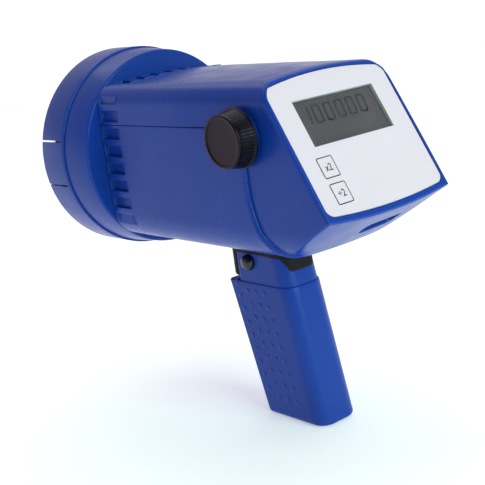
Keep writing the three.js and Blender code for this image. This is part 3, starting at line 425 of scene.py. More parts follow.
def tube(name, path, radius, material, stands_for=(), sides=16):
    """A round tube along a path, with domed ends."""
    path = np.array(path, float)
    tangent = np.gradient(path, axis=0)
    tangent /= np.linalg.norm(tangent, axis=1)[:, None]
    side = np.cross(tangent[0], [0.3, 0.5, 0.8])
    rows = []
    for point, along in zip(path, tangent):
        side = side - along * (side @ along)
        side /= np.linalg.norm(side)
        up = np.cross(along, side)
        rows.append([point + radius * (cos(a) * side + sin(a) * up) for a in turn(sides)])
    rows.insert(0, [path[0] * 0.5 + np.array(p) * 0.5 - tangent[0] * radius * 0.3 for p in rows[0]])
    rows.append([path[-1] * 0.5 + np.array(p) * 0.5 + tangent[-1] * radius * 0.3 for p in rows[-1]])
    skin = Skin()
    skin.solid(rows)
    skin.make(name, material, stands_for=stands_for, sharp=50)


LEG, LEG_LENGTH = 5, 16  # half the spacing and the length of the flash tube's legs
foot_y = BOWL_FRONT + BOWL_DEPTH - 3
bend_y = foot_y - LEG_LENGTH
bend = [(LEG * cos(a), bend_y - LEG * sin(a), 0) for a in np.linspace(pi, 0, 25)]
straight = np.linspace(foot_y - GAP, bend_y, 8)
u_path = [(-LEG, y, 0) for y in straight[:-1]] + bend + [(LEG, y, 0) for y in straight[::-1][1:]]
tube("flash_u_tube", u_path, 2.0, tube_glass, ["flash_tube"])
electrode = surface("electrode", (0.35, 0.33, 0.32), (0.2, 0.35), Metallic=1.0)
for side, leg_x in (("left", -LEG), ("right", LEG)):
    rod = [(leg_x, y, 0) for y in np.linspace(foot_y - GAP - 0.5, foot_y - 7, 6)]
    tube(f"electrode_{side}", rod, 0.8, electrode, sides=12)


# ---- body outline
def body_point(kind, value, half):
    """One point of the body's cross-section outline: on a side, a corner or the top or bottom."""
    if kind in ("right", "left"):
        x, z = half, value
    elif kind in ("top_right", "top_left"):
        x = half - TOP_RADIUS + TOP_RADIUS * cos(value)
        z = BODY_TOP - TOP_RADIUS + TOP_RADIUS * sin(value)
    elif kind in ("low_right", "low_left"):
        x = half - BOTTOM_RADIUS + BOTTOM_RADIUS * cos(value)
        z = BODY_BOTTOM + BOTTOM_RADIUS - BOTTOM_RADIUS * sin(value)
    elif kind == "top":
        x, z = value * (half - TOP_RADIUS), BODY_TOP
    else:
        x, z = value * (half - BOTTOM_RADIUS), BODY_BOTTOM
    middle = (BODY_TOP + BODY_BOTTOM) / 2
    up = (z - middle) / (BODY_TOP - middle)
    if up > 0:
        z += BODY_CROWN * (1 - (x / half) ** 2) * up
    x -= x / half * SIDE_BOW * up * up
    return (-x if "left" in kind else x), z


def body_half(y):
    t = np.clip((y - NARROWS_FROM) / (NARROWS_TO - NARROWS_FROM), 0, 1)
    return BODY_FRONT_HALF + (BODY_REAR_HALF - BODY_FRONT_HALF) * t * t * (3 - 2 * t)


MOUTH, SHOULDER, FOOT = 0.55, 0.12, 0.6  # a pocket edge's rounding outside it, its wall, its floor
EDGE_STEPS = (-MOUTH, -0.38, -0.2, -0.06, 0, SHOULDER, 0.3, FOOT)
LIP_Y, LIP_RISE, LIP_HALF = 0.45, 0.45, 0.4  # the raised lip behind each pocket


def with_pocket_lines(values, centres):
    """Adds the lines that each pocket's rounded edges need, and drops others close to them."""
    lines = []
    for centre in centres:
        for step in EDGE_STEPS:
            lines += [centre - POCKET_HALF + step, centre + POCKET_HALF - step]
    low, high = min(values), max(values)
    lines = [v for v in lines if low < v < high]
    kept = [v for v in values if v in (low, high) or all(abs(v - other) > 0.25 for other in lines)]
    return sorted({*kept, *lines})


FIRST_POCKET = PARTING - POCKET_PITCH / 2
SIDE_POCKETS = [FIRST_POCKET - k * POCKET_PITCH for k in range(-2, 6)]
FLAT_POCKETS = [k * POCKET_PITCH for k in range(-3, 4)]
TOP_CORNER_Z, LOW_CORNER_Z = BODY_TOP - TOP_RADIUS, BODY_BOTTOM + BOTTOM_RADIUS


def corner_angles(radius, side_values, flat_values, steps):
    """Angles of a corner's points, with those where pocket lines on either side cross it."""
    angles = list(np.linspace(0, pi / 2, steps + 1)[1:-1])
    extra = [math.asin(v / radius) for v in side_values if 0 < v < radius]
    extra += [math.acos(v / radius) for v in flat_values if 0 < v < radius]
    angles = [a for a in angles if all(abs(a - b) > 0.012 for b in extra)]
    return sorted({*angles, *extra})


def pocket_edges(centres):
    return [c + s * (POCKET_HALF - step) for c in centres for s in (-1, 1) for step in EDGE_STEPS]


def both_sides(right, flat):
    """The right side's outline points, those of the flat, and the right side's again on the left."""
    return right + flat + [(kind.replace("right", "left"), value) for kind, value in right[::-1]]


def ring_spec(upper):
    """The (kind, value) of each outline point, from the right parting line to the left one."""
    flat_half = BODY_FRONT_HALF - (TOP_RADIUS if upper else BOTTOM_RADIUS)
    flats = with_pocket_lines(np.linspace(-flat_half, flat_half, 41), FLAT_POCKETS)
    flat_lines = [v - flat_half for v in pocket_edges(FLAT_POCKETS)]
    if upper:
        sides = with_pocket_lines(np.linspace(PARTING + GAP, TOP_CORNER_Z, 7), SIDE_POCKETS)
        lines = [v - TOP_CORNER_Z for v in pocket_edges(SIDE_POCKETS)]
        angles = corner_angles(TOP_RADIUS, lines, flat_lines, 14)
        right = [("right", z) for z in sides] + [("top_right", a) for a in angles]
        return both_sides(right, [("top", x / flat_half) for x in flats[::-1]])
    sides = with_pocket_lines(np.linspace(LOW_CORNER_Z, PARTING, 26), SIDE_POCKETS)
    lines = [LOW_CORNER_Z - v for v in pocket_edges(SIDE_POCKETS)]
    angles = corner_angles(BOTTOM_RADIUS, lines, flat_lines, 20)
    right = [("right", z) for z in sides[::-1]] + [("low_right", a) for a in angles]
    return both_sides(right, [("bottom", x / flat_half) for x in flats[::-1]])


def recess(distance, depth):
    """How far a pocket's surface lies in, by the distance inside its edge, with both edges rounded."""
    if distance <= -MOUTH:
        return 0.0
    if distance <= 0:
        return MOUTH - math.sqrt(MOUTH ** 2 - (distance + MOUTH) ** 2)
    if distance >= FOOT:
        return depth
    low = max(depth - 0.45, MOUTH)
    if distance <= SHOULDER:
        return MOUTH + (low - MOUTH) * distance / SHOULDER
    t = (FOOT - distance) / (FOOT - SHOULDER)
    return depth - (depth - low) * (1 - math.sqrt(max(0.0, 1 - t * t)))


def pocketed(x, y, z):
    """Draws a point of the neck in where it lies in a pocket, and out on the lip behind it."""
    if y > POCKET_REAR + 1.2 or y < POCKET_FRONT - 1:
        return x, y, z
    along = min(y - POCKET_FRONT, POCKET_REAR - y)
    rise = LIP_RISE * max(0.0, 1 - abs(y - POCKET_REAR - LIP_Y) / LIP_HALF)
    side_floor = BODY_FRONT_HALF - POCKET_DEPTH - GAP
    for centre in SIDE_POCKETS:
        inward = abs(x) - side_floor
        distance = min(along, POCKET_HALF - abs(z - centre))
        if inward > 0 and distance > -MOUTH:
            x -= math.copysign(min(recess(distance, inward), inward), x)
        if inward > 0 and abs(z - centre) < POCKET_HALF:
            x += math.copysign(rise, x)
    for centre in FLAT_POCKETS:
        edge_x = (abs(centre) + POCKET_HALF) / BODY_FRONT_HALF
        floor = BODY_TOP + BODY_CROWN * (1 - edge_x ** 2) - POCKET_DEPTH
        inward = z - floor if z > 0 else BODY_BOTTOM + POCKET_DEPTH - z
        distance = min(along, POCKET_HALF - abs(x - centre))
        if inward > 0 and distance > -MOUTH:
            z -= math.copysign(min(recess(distance, inward), inward), z)
        if inward > 0 and abs(x - centre) < POCKET_HALF:
            z += math.copysign(rise, z)
    return x, y, z


def pocket_rows():
    rows = [NECK_FRONT, 48.3]
    rows += [POCKET_FRONT + step for step in EDGE_STEPS]
    rows += list(np.linspace(POCKET_FRONT + 2, POCKET_REAR - 2, 5))
    rows += [POCKET_REAR - step for step in EDGE_STEPS[::-1] if step > -0.05]
    return rows + [POCKET_REAR + 0.2, POCKET_REAR + LIP_Y, POCKET_REAR + 0.85, POCKET_REAR + 1.3]


# ---- sloping faces
def panel_point(x, up, out):
    """x to the user's right, up the slope, out of the panel."""
    return (-x, PANEL_Y - COS * up + SIN * out, PANEL_Z + SIN * up + COS * out)


def panel_edge(x):
    return -PANEL_LENGTH + PANEL_BOW * (x / BODY_REAR_HALF) ** 2


def underside_point(x, forward, out=0.0):
    """A point on the bowed underside: forward and down from the panel's lower edge."""
    _, y, z = panel_point(-x, panel_edge(x), 0)
    return (x, y - SIN * forward + COS * out, z - COS * forward - SIN * out)


def rear_limit(x, z):
    """Where a line along the body at x and z ends: at the panel or at the underside."""
    at_panel = PANEL_Y + (PANEL_Z - z) / math.tan(TILT)
    at_underside = PANEL_Y + ((z - PANEL_Z) * SIN - panel_edge(x)) / COS
    return min(at_panel, at_underside), at_underside < at_panel


def cheek_line(z):
    """Rear end of the lower housing at a height."""
    if z >= CHEEK_ARC_Z:
        return CHEEK_Y
    return CHEEK_Y + CHEEK_ARC - math.sqrt(CHEEK_ARC ** 2 - (z - CHEEK_ARC_Z) ** 2)


def rounded_box(x0, x1, y0, y1, radius, steps=6):
    corners = [(x0, y0, radius), (x1, y0, radius), (x1, y1, radius), (x0, y1, radius)]
    return filleted(corners, steps)


def label_outline(grow):
    half, low, high = LABEL_HALF + grow, -LABEL_BOTTOM - grow, -LABEL_TOP + grow
    radius = LABEL_CORNER + grow
    outline = []
    corners = [(half, low, -1), (half, high, 0), (-half, high, 1), (-half, low, 2)]
    for i, (cx, cy, quarter) in enumerate(corners):
        centre = (cx - math.copysign(radius, cx), cy + (radius if cy == low else -radius))
        for k in range(13):
            a = (quarter + k / 12) * pi / 2
            outline.append((centre[0] + radius * cos(a), centre[1] + radius * sin(a)))
        nx, ny, _ = corners[(i + 1) % 4]
        target = (nx - math.copysign(radius, nx), ny + (radius if ny == low else -radius))
        a = (quarter + 1) * pi / 2
        end = (target[0] + radius * cos(a), target[1] + radius * sin(a))
        start = outline[-1]
        outline += [tuple(np.array(start) + (np.array(end) - start) * k / 20) for k in range(1, 20)]
    bowed = []
    for x, y in outline:
        down = (-y - LABEL_TOP) / (LABEL_BOTTOM - LABEL_TOP)
        bow = (x / LABEL_HALF) ** 2
        bowed.append((x, y - LABEL_TOP_BOW * bow * (1 - down) + LABEL_BOTTOM_BOW * bow * down))
    return bowed


def inset_loop(loop, distance):
    """An outline drawn in by a distance, mitred at its corners."""
    loop = np.array(loop)
    following = np.roll(loop, -1, 0)
    turn = np.sign((loop[:, 0] * following[:, 1] - following[:, 0] * loop[:, 1]).sum())
    ahead = following - loop
    ahead /= np.linalg.norm(ahead, axis=1)[:, None]
    normals = np.stack([-ahead[:, 1], ahead[:, 0]], 1) * turn
    before = np.roll(normals, 1, 0)
    mitre = (normals + before) / (1 + (normals * before).sum(1))[:, None]
    return [tuple(p) for p in loop + mitre * distance]


# ---- upper housing
EDGE_SIDE, EDGE_FACE = 3.0, 1.4  # how far the rounded rear edges reach along either face
EDGE_UNDER = 2.2


def curve(a, b, c):
    """Points of a rounded edge that leaves a and arrives at c as if the corner were at b."""
    a, b, c = (np.array(p, float) for p in (a, b, c))
    return [tuple((1 - t) ** 2 * a + 2 * t * (1 - t) * b + t * t * c) for t in np.linspace(0, 1, 7)]


def to_panel(p):
    return (-p[0], -(p[1] - PANEL_Y) * COS + (p[2] - PANEL_Z) * SIN)


def to_underside(p):
    _, y, z = underside_point(p[0], 0)
    return (p[0], (y - p[1]) * SIN + (z - p[2]) * COS)


def corner_height():
    """Height at which panel, underside and side meet."""
    low, high = BODY_BOTTOM, PARTING
    for _ in range(40):
        middle = (low + high) / 2
        x, z = body_point("right", middle, BODY_REAR_HALF)
        if rear_limit(x, z)[1]:
            low = middle
        else:
            high = middle
    return high


def rear_column(kind, value, start):
    """Points rearwards along the body from start, then the corner that they run into."""
    x, z = body_point(kind, value, BODY_REAR_HALF)
    end = rear_limit(x, z)[0]
    start = min(start, end - 1)
    stop = end - min(EDGE_SIDE, 0.7 * (end - start))
    points = []
    for share in (0, 0.12, 0.3, 0.5, 0.68, 0.82, 0.92, 1):
        y = start + (stop - start) * share
        px, pz = body_point(kind, value, body_half(y))
        points.append((px, y, pz))
    return points, (x, end, z)


def upper_housing():
    skin = Skin()
    seam_y = CHEEK_Y + GAP
    front_lines = [*pocket_rows(), 70, 80, 90, 100, 115, *np.linspace(120, seam_y, 14)]
    above = []
    grid = []
    for kind, value in ring_spec(True):
        front = []
        for y in front_lines[:-1]:
            x, z = body_point(kind, value, body_half(y))
            front.append(pocketed(x, y, z))
        rear, corner = rear_column(kind, value, seam_y)
        grid.append(front + rear)
        above.append((rear[-1], corner))
    skin.grid(grid)
    for edge in (0, -1):
        line = [p for p in grid[edge] if p[1] <= seam_y + 1e-6]
        skin.grid([[(p[0] * (1 - 0.055 * s), p[1], p[2]) for p in line] for s in np.linspace(0, 1, 4)])

    corner_z = corner_height()
    side_zs = [PARTING + GAP, *np.linspace(PARTING - 3, LOW_CORNER_Z, 18)]
    side_zs = sorted([z for z in side_zs if abs(z - corner_z) > 3.2] + [corner_z], reverse=True)
    angles = np.linspace(0, pi / 2, 21)[1:-1]
    spec = both_sides([("right", z) for z in side_zs] + [("low_right", a) for a in angles],
                      [("bottom", share) for share in np.linspace(1, -1, 31)])
    below, grid = [], []
    for kind, value in spec:
        _, z = body_point(kind, value, BODY_REAR_HALF)
        rear, corner = rear_column(kind, value, cheek_line(z) + GAP)
        grid.append(rear)
        below.append((rear[-1], corner))
    skin.grid(grid)
    lips = [row[0] for row in grid]
    skin.grid([lips, [(p[0] * 0.95, p[1], p[2] * 0.96) for p in lips]])

    right = spec.index(("right", corner_z))
    left = spec.index(("left", corner_z))
    sides = below[right:0:-1] + above + below[-2:left - 1:-1]
    under = below[right:left + 1]
    border = [underside_point(x, 0) for x in np.linspace(-BODY_REAR_HALF, BODY_REAR_HALF, 29)[1:-1]]

    face_loop = inset_loop([to_panel(c) for _, c in sides] + [to_panel(p) for p in border], EDGE_FACE)
    under_loop = [to_underside(c) for _, c in under] + [(p[0], 0.0) for p in border]
    under_loop = inset_loop(under_loop, EDGE_UNDER)
    on_panel = [panel_point(x, v, 0) for x, v in face_loop]
    on_under = [underside_point(x, w) for x, w in under_loop]
    skin.grid([curve(start, corner, face) for (start, corner), face in zip(sides, on_panel)])
    skin.grid([curve(start, corner, face) for (start, corner), face in zip(under, on_under)])
    corners = [sides[-1][1], *border, sides[0][1]]
    rim = [*on_panel[len(sides) - 1:], on_panel[0]]
    brow = [*on_under[len(under) - 1:], on_under[0]]
    skin.grid([curve(a, b, c) for a, b, c in zip(rim, corners, brow)])
    for (start, corner), a, b in ((sides[0], on_panel[0], on_under[0]), (sides[-1], rim[0], brow[0])):
        to_a, to_b, pull = curve(start, corner, a), curve(start, corner, b), curve(start, corner, corner)
        skin.grid([curve(p, q, r) for p, q, r in zip(to_a, pull, to_b)])

    recess_rings = ((GAP + 0.25, 0), (GAP + 0.08, -0.06), (GAP, -0.25), (GAP, -RECESS))
    rings = [(label_outline(grow), depth) for grow, depth in recess_rings]
    skin.fill(face_loop, [rings[0][0]], lambda x, v: panel_point(x, v, 0))
    skin.grid([[panel_point(x, v, w) for x, v in loop] for loop, w in rings], closed=True)
    openings = [rounded_box(*WINDOW, 0.3), *(rounded_box(*KEYS[k], KEY_CORNER) for k in KEYS)]
    openings = [[tuple(p) for p in loop] for loop in openings]
    skin.fill(rings[-1][0], openings, lambda x, v: panel_point(x, v, -RECESS))
    for loop in openings:
        skin.grid([[panel_point(x, v, w) for x, v in loop] for w in (-RECESS, -RECESS - 2)], closed=True)

    pocket = [tuple(p) for p in rounded_box(*JACK_POCKET, 4.0)]
    pocket_rim = inset_loop(pocket, -0.5)
    margin, clear_of_pocket = inset_loop(under_loop, 1.2), inset_loop(pocket_rim, -0.8)
    inner = [(x, w) for x in np.arange(-42, 43, 3.0) for w in np.arange(2.4, 42, 3.0)]
    inner = [p for p in inner if inside(p, margin) and not inside(p, clear_of_pocket)]
    skin.fill(under_loop, [pocket_rim], lambda x, w: underside_point(x, w), inner)
    levels = ((pocket_rim, 0), (inset_loop(pocket, -0.15), -0.12), (pocket, -0.5),
              (pocket, JACK_POCKET_FLOOR))
    skin.grid([[underside_point(x, w, out) for x, w in loop] for loop, out in levels], closed=True)
    holes = []
    for x, r in JACK_HOLES:
        holes.append([(x + r * cos(a), JACK_ROW + r * sin(a)) for a in turn(32)])
    skin.fill(pocket, holes, lambda x, w: underside_point(x, w, JACK_POCKET_FLOOR))
    skin.make("upper_shell", blue, stands_for=["upper_housing"])


upper_housing()


# ---- lower housing
def lip_depth(distance, radius):
    """How far a rounded edge lies in, by the distance from that edge."""
    if distance >= radius:
        return 0.0
    return radius - math.sqrt(max(0.0, radius ** 2 - (radius - max(distance, 0)) ** 2))


def lower_housing():
    skin = Skin()
    arc = [1 - sin(a) for a in np.linspace(0, pi / 2, 7)]
    cheek_radius = 2.1

    def top_radius(y):
        return 0.35 + 1.1 * np.clip((y - 110) / 65, 0, 1)

    top_rows = [("top_edge", s) for s in arc[::-1]]
    body_rows = [(k, v) for k, v in ring_spec(False)
                 if not (k in ("right", "left") and v > PARTING - 1.6)]
    rows = [("right", *row) for row in top_rows] + [("body", *row) for row in body_rows]
    rows += [("left", *row) for row in top_rows[::-1]]
    fixed = [*pocket_rows(), 70, 80, 90, 100, 110]
    grid = []
    for side, kind, value in rows:
        line = []
        _, z_here = body_point(kind, value, BODY_FRONT_HALF) if side == "body" else (0, PARTING)
        rear = cheek_line(z_here)
        ys = fixed + list(np.linspace(116, rear - cheek_radius - 2, 16))
        ys += [rear - cheek_radius * s for s in arc] + [rear]
        for i, y in enumerate(ys):
            radius = top_radius(y)
            if side == "body":
                x, z = body_point(kind, value, BODY_FRONT_HALF)
            else:
                x, z = body_point(side, PARTING - radius * value, BODY_FRONT_HALF)
            x, _, z = pocketed(x, y, z)
            normal = outline_normal(x, z)
            depth = lip_depth(rear - y, cheek_radius)
            if side != "body":
                depth += lip_depth(PARTING - z, radius)
            if i == len(ys) - 1:
                depth = cheek_radius + 2.6
            tangent_z = 0.0
            if z < CHEEK_ARC_Z and rear - y < cheek_radius:
                towards = np.array([CHEEK_Y + CHEEK_ARC - rear, CHEEK_ARC_Z - z])
                towards /= np.linalg.norm(towards)
                tangent_z = -(rear - y) * towards[1] * abs(normal[0]) * 0.6
            line.append((x - normal[0] * depth, y, z - normal[1] * depth + tangent_z))
        grid.append(line)
    skin.grid(grid)
    for edge in (0, -1):
        line = grid[edge]
        skin.grid([line, [(p[0] - math.copysign(3.0, p[0]), p[1], p[2]) for p in line]])
    pad = []
    for x, r in ((42.5, 12.6), (46.2, 12.6), (46.55, 12.3), (46.6, 11.8), (46.6, 6.0)):
        pad.append([(x, KNOB_PAD_Y + r * cos(a), KNOB_PAD_Z + r * sin(a)) for a in turn(64)])
    skin.grid(pad, closed=True)
    skin.make("lower_shell", blue, stands_for=["lower_housing"])


def outline_normal(x, z):
    """Outward direction of the lower housing's outline at a point."""
    side = BODY_FRONT_HALF - BOTTOM_RADIUS
    if abs(x) <= side and z < 0:
        return (0.0, -1.0)
    if z >= LOW_CORNER_Z:
        return (math.copysign(1.0, x), 0.0)
    away = np.array([x - math.copysign(side, x), z - LOW_CORNER_Z])
    away /= np.linalg.norm(away)
    return tuple(away)


lower_housing()


# ---- grip
def grip_front(z):
    return GRIP_FRONT + GRIP_FRONT_RAKE * (GRIP_STEP - z)


def grip_rear(z):
    return GRIP_REAR + GRIP_REAR_RAKE * (GRIP_STEP - z)


CORNER_STEPS, FLAT_STEPS = 10, 14


def grip_ring(z, front, inset=0.0, raised=0.0):
    half = GRIP_HALF + raised - inset
    low, high = front + inset, grip_rear(z) + raised - inset
    front_radius = max(GRIP_FRONT_RADIUS - inset, 0.6)
    rear_radius = max(GRIP_REAR_RADIUS - inset, 0.6)
    points = []
    corners = [(half - front_radius, low + front_radius, front_radius, -90),
               (half - rear_radius, high - rear_radius, rear_radius, 0),
               (-half + rear_radius, high - rear_radius, rear_radius, 90),
               (-half + front_radius, low + front_radius, front_radius, 180)]
    for i, (cx, cy, radius, start) in enumerate(corners):
        for k in range(CORNER_STEPS + 1):
            a = math.radians(start + 90 * k / CORNER_STEPS)
            points.append((cx + radius * cos(a), cy + radius * sin(a), z))
        nx, ny, next_radius, next_start = corners[(i + 1) % 4]
        a = math.radians(next_start)
        end = np.array([nx + next_radius * cos(a), ny + next_radius * sin(a), z])
        here = np.array(points[-1])
        points += [tuple(here + (end - here) * k / FLAT_STEPS) for k in range(1, FLAT_STEPS)]
    return points


def grip_shell():
    skin = Skin()
    upper = [grip_ring(z, TRIGGER_FACE) for z in (-46, -55, -65, GRIP_STEP - 0.5)]
    skin.grid(upper, closed=True)
    top_round = 0.9
    rings = []
    for a in np.linspace(pi / 2, 0, 5):
        z = GRIP_STEP - top_round * (1 - sin(a))
        rings.append(grip_ring(z, grip_front(GRIP_STEP), top_round * (1 - cos(a)), GRIP_RAISE))
    for z in np.linspace(GRIP_STEP - 3, GRIP_FOOT + 5, 24):
        rings.append(grip_ring(z, grip_front(z), 0, GRIP_RAISE))
    foot = 2.4
    for a in np.linspace(0, pi / 2, 8):
        z = GRIP_FOOT + foot * (1 - sin(a))
        rings.append(grip_ring(z, grip_front(z), foot * (1 - cos(a)), GRIP_RAISE))
    skin.grid(rings, closed=True)
    skin.cap(rings[0])
    sole = [grip_ring(z, grip_front(z), WALL) for z in (GRIP_FOOT, GRIP_FOOT + 6)]
    skin.grid([rings[-1], *sole], closed=True)
    skin.cap(sole[-1])
    skin.make("grip_shell", grip_blue, stands_for=["lower_housing"])


grip_shell()


BUMP_RADIUS, BUMP_HEIGHT = 1.7, 0.34
BUMP_COLUMNS, COLUMN_PITCH, BUMP_ROWS, ROW_PITCH = 4, 7.4, 9, 7.7


def grip_bumps():
    """Low domes in columns along the rake, on both sides of the grip."""
    skin = Skin()
    dome = [(BUMP_RADIUS * cos(a), BUMP_HEIGHT * sin(a))
            for a in np.linspace(0, pi / 2, 7)[:-1]]
    profile = [(BUMP_RADIUS + 0.4, -0.06), *dome, (0.05, BUMP_HEIGHT)]
    face = GRIP_HALF + GRIP_RAISE
    for sign in (-1, 1):
        for column in range(BUMP_COLUMNS):
            for row in range(BUMP_ROWS):
                z = GRIP_STEP - 5.6 - ROW_PITCH * row + (3.8 if column == 0 else 0)
                y = grip_front(z) + 6.9 + COLUMN_PITCH * column
                rows = [[(sign * (face + height), y + r * cos(a), z + r * sin(a))
                         for a in turn(24)] for r, height in profile]
                skin.grid(rows, closed=True)
                skin.cap(rows[-1])
    skin.make("grip_bumps", grip_blue, sharp=60)


grip_bumps()


# How far the painted shadow band under the body reaches down the grip, further at its sides and rear.
SHADOW_BAND_DROP, SHADOW_BAND_SIDE_SAG, SHADOW_BAND_REAR_SAG = 9.3, 1.3, 7.5


def neck_shadow_band():
    """Black ring where the grip leaves the body, lower along its rear: painted shadow, a dark piece standing
    for the shade the body casts on the top of the grip.
    """
    skin = Skin()
    rows = []
    for drop, grow in ((0, -0.1), (0, 0.35), (0.3, 0.38), (0.6, 0.38), (0.95, 0.35), (1, 0.2), (1, -0.1)):
        row = []
        for x, y, z in grip_ring(BODY_BOTTOM + 0.4, TRIGGER_FACE, inset=-grow):
            back = np.clip((y - 132) / (150 - 132), 0, 1)
            behind = np.clip((y - 149.5) / 3.0, 0, 1)
            fall = drop * (SHADOW_BAND_DROP + SHADOW_BAND_SIDE_SAG * back ** 2 + SHADOW_BAND_REAR_SAG * behind ** 2)
            rake = GRIP_REAR_RAKE * np.clip((y - TRIGGER_FACE) / 30, 0, 1)
            row.append((x, y + rake * fall, z - fall))
        rows.append(row)
    skin.grid(rows, closed=True)
    # The rubber finish gives this painted shadow band its near-black colour.
    skin.make("neck_shadow_band", rubber, sharp=50)


neck_shadow_band()


# ---- label, window, keys
def plate(name, outline, holes, face, back, material, stands_for=(), body="root", soft=0.0):
    """A flat piece in the panel's frame, between two depths, its outer edge softened."""
    skin = Skin()
    holes = [[tuple(p) for p in hole] for hole in holes]
    outline = [tuple(p) for p in outline]
    top = inset_loop(outline, soft) if soft else outline
    skin.fill(top, holes, lambda x, v: panel_point(x, v, face))
    skin.fill(outline, holes, lambda x, v: panel_point(x, v, back))
    levels = [(outline, back), (outline, face - soft)] + ([(top, face)] if soft else [])
    skin.grid([[panel_point(x, v, w) for x, v in loop] for loop, w in levels], closed=True)
    for hole in holes:
        skin.grid([[panel_point(x, v, w) for x, v in hole] for w in (back, face)], closed=True)
    skin.make(name, material, body=body, stands_for=stands_for, sharp=30)


key_loops = {k: rounded_box(*KEYS[k], KEY_CORNER) for k in KEYS}
window_loop = rounded_box(*WINDOW, 0.3)
plate("label_plate", label_outline(0), [window_loop, *key_loops.values()], LABEL_FACE, LABEL_BACK,
      label, ["panel_label"], soft=0.12)
plate("window_lining", window_loop, [inset_loop(window_loop, 0.22)], LABEL_FACE - 0.02, LCD_FACE + 0.02,
      lining)

for key, loop in key_loops.items():
    face = LABEL_FACE + 0.05
    plate(f"{key}_cap", inset_loop(loop, 0.14), [], face, -3.6, label, [f"key_{key}"],
          f"key_{key}", soft=0.08)
    plate(f"{key}_outline", inset_loop(loop, 0.1), [inset_loop(loop, 0.55)], face + 0.03, face - 0.02,
          ink, body=f"key_{key}")


def lettering(name, text, height, x, up, face, body):
    """Small raised print in the panel's frame, centred on x and up."""
    letters = bpy.data.curves.new(name + "_text", "FONT")
    letters.body = text
    letters.offset = 0.008
    letters.resolution_u = 6
    flat = bpy.data.objects.new(name + "_text", letters)
    show(flat)
    bpy.context.view_layer.update()
    mesh = bpy.data.meshes.new_from_object(flat)
    bpy.data.objects.remove(flat)
    points = np.array([v.co for v in mesh.vertices])[:, :2]
    low, high = points.min(0), points.max(0)
    scale = height / (high[1] - low[1])
    points = (points - (low + high) / 2) * scale * np.array([0.86, 1.0])
    skin = Skin()
    skin.add([panel_point(x + px, up + py, face) for px, py in points])
    skin.faces = [tuple(p.vertices) for p in mesh.polygons]
    skin.make(name, ink, body=body)


for key, text in (("times_two", "x2"), ("divide_two", "÷2")):
    x0, x1, v0, v1 = KEYS[key]
    lettering(f"{key}_print", text, 3.9, (x0 + x1) / 2, (v0 + v1) / 2, LABEL_FACE + 0.075, f"key_{key}")

plate("lcd_panel", rounded_box(-27.9, 27.9, -39.3, -14.7, 0.2), [], LCD_FACE, LCD_FACE - 2, lcd_glass,
      ["lcd_glass"])


def seven_segments(digit):
    """Bars of a digit in a box one wide and two high, as (x0, x1, y0, y1)."""
    t, w = 0.2, 1.0
    bars = {
        "a": (t, w - t, 2 - t, 2), "d": (t, w - t, 0, t), "g": (t, w - t, 1 - t / 2, 1 + t / 2),
        "b": (w - t, w, 1.04, 2 - t / 2), "c": (w - t, w, t / 2, 0.96),
        "f": (0, t, 1.04, 2 - t / 2), "e": (0, t, t / 2, 0.96),
    }
    return [bars[k] for k in {"0": "abcdef", "1": "bc"}[digit]]


def display_digits(text):
    skin = Skin()
    pitch, width, height, slant = 7.9, 5.6, 10.4, 0.5
    left, bottom = -25.6, -27.9
    for i, digit in enumerate(text):
        for x0, x1, y0, y1 in seven_segments(digit):
            corners = [(x0, y0), (x1, y0), (x1, y1), (x0, y1)]
            at = [(left + pitch * i + width * x + slant * y, bottom + height / 2 * y) for x, y in corners]
            skin.cap([panel_point(x, v, LCD_FACE + 0.08) for x, v in at])
    skin.make("lcd_digits", segment)


display_digits("100000")


# ---- knob
KNOB_TEETH, POINTS_PER_TOOTH, KNOB_TAPER = 56, 8, 1.8


def speed_knob():
    low, high = box_in_mm("speed_knob")
    _, centre_y, centre_z = (low + high) / 2
    back, front = low[0], high[0]
    base = (high[2] - low[2]) / 2
    face = base - KNOB_TAPER
    angles = turn(KNOB_TEETH * POINTS_PER_TOOTH)
    wave = [max(0.0, cos(a)) ** 0.7 for a in angles * KNOB_TEETH]

    def ring(radius, x, depth=0.0):
        radii = [radius - depth * w for w in wave]
        return [(x, centre_y + r * cos(a), centre_z + r * sin(a)) for a, r in zip(angles, radii)]

    rows = [ring(9.0, back + 4.5), ring(9.0, back)]
    for inset, rise in ((0.4, 0), (0.1, 0.12), (0, 0.4), (0, 0.95), (0.1, 1.25), (0.45, 1.42)):
        rows.append(ring(base - inset, back + rise))
    rows.append(ring(base - 0.5, back + 1.7, 0.4))
    for t in np.linspace(0, 1, 5):
        rows.append(ring(base - 0.55 + (face + 0.65 - base) * t, back + 1.9 + (front - back - 3.4) * t, 0.42))
    rows.append(ring(face + 0.1, front - 1.25, 0.1))
    for inset, drop in ((-0.12, 1.1), (-0.08, 0.5), (0.12, 0.14), (0.45, 0), (1.4, 0), (1.75, 0.12),
                        (1.95, 0.5), (2.6, 0.55), (face - 4, 0.55), (face - 0.05, 0.55)):
        rows.append(ring(face - inset, front - drop))
    skin = Skin()
    skin.grid(rows, closed=True)
    skin.cap(rows[-1])
    skin.make("knob_cap", black, body="knob", stands_for=["speed_knob"], sharp=50)


speed_knob()


LOCK_COLLAR, LOCK_COLLAR_THICKNESS = 1.0, 0.9


def lock_button():
    low, high = box_in_mm("lock_button")
    back, centre_y, centre_z = low[0], *((low + high) / 2)[1:]
    radius = (high[2] - low[2]) / 2 - LOCK_COLLAR
    shoulder = GRIP_HALF + 0.5
    dome = high[0] - shoulder
    profile = [(radius + LOCK_COLLAR, back), (radius + LOCK_COLLAR, back + LOCK_COLLAR_THICKNESS),
               (radius, back + LOCK_COLLAR_THICKNESS), (radius, shoulder)]
    profile += [(radius * cos(a), shoulder + dome * sin(a)) for a in np.linspace(0.06, 1.5, 14)]
    rows = [[(x, centre_y + r * cos(a), centre_z + r * sin(a)) for a in turn(64)]
            for r, x in profile]
    skin = Skin()
    skin.solid(rows)
    skin.make("lock_dome", gloss, body="lock_button", stands_for=["lock_button"], sharp=50)


lock_button()


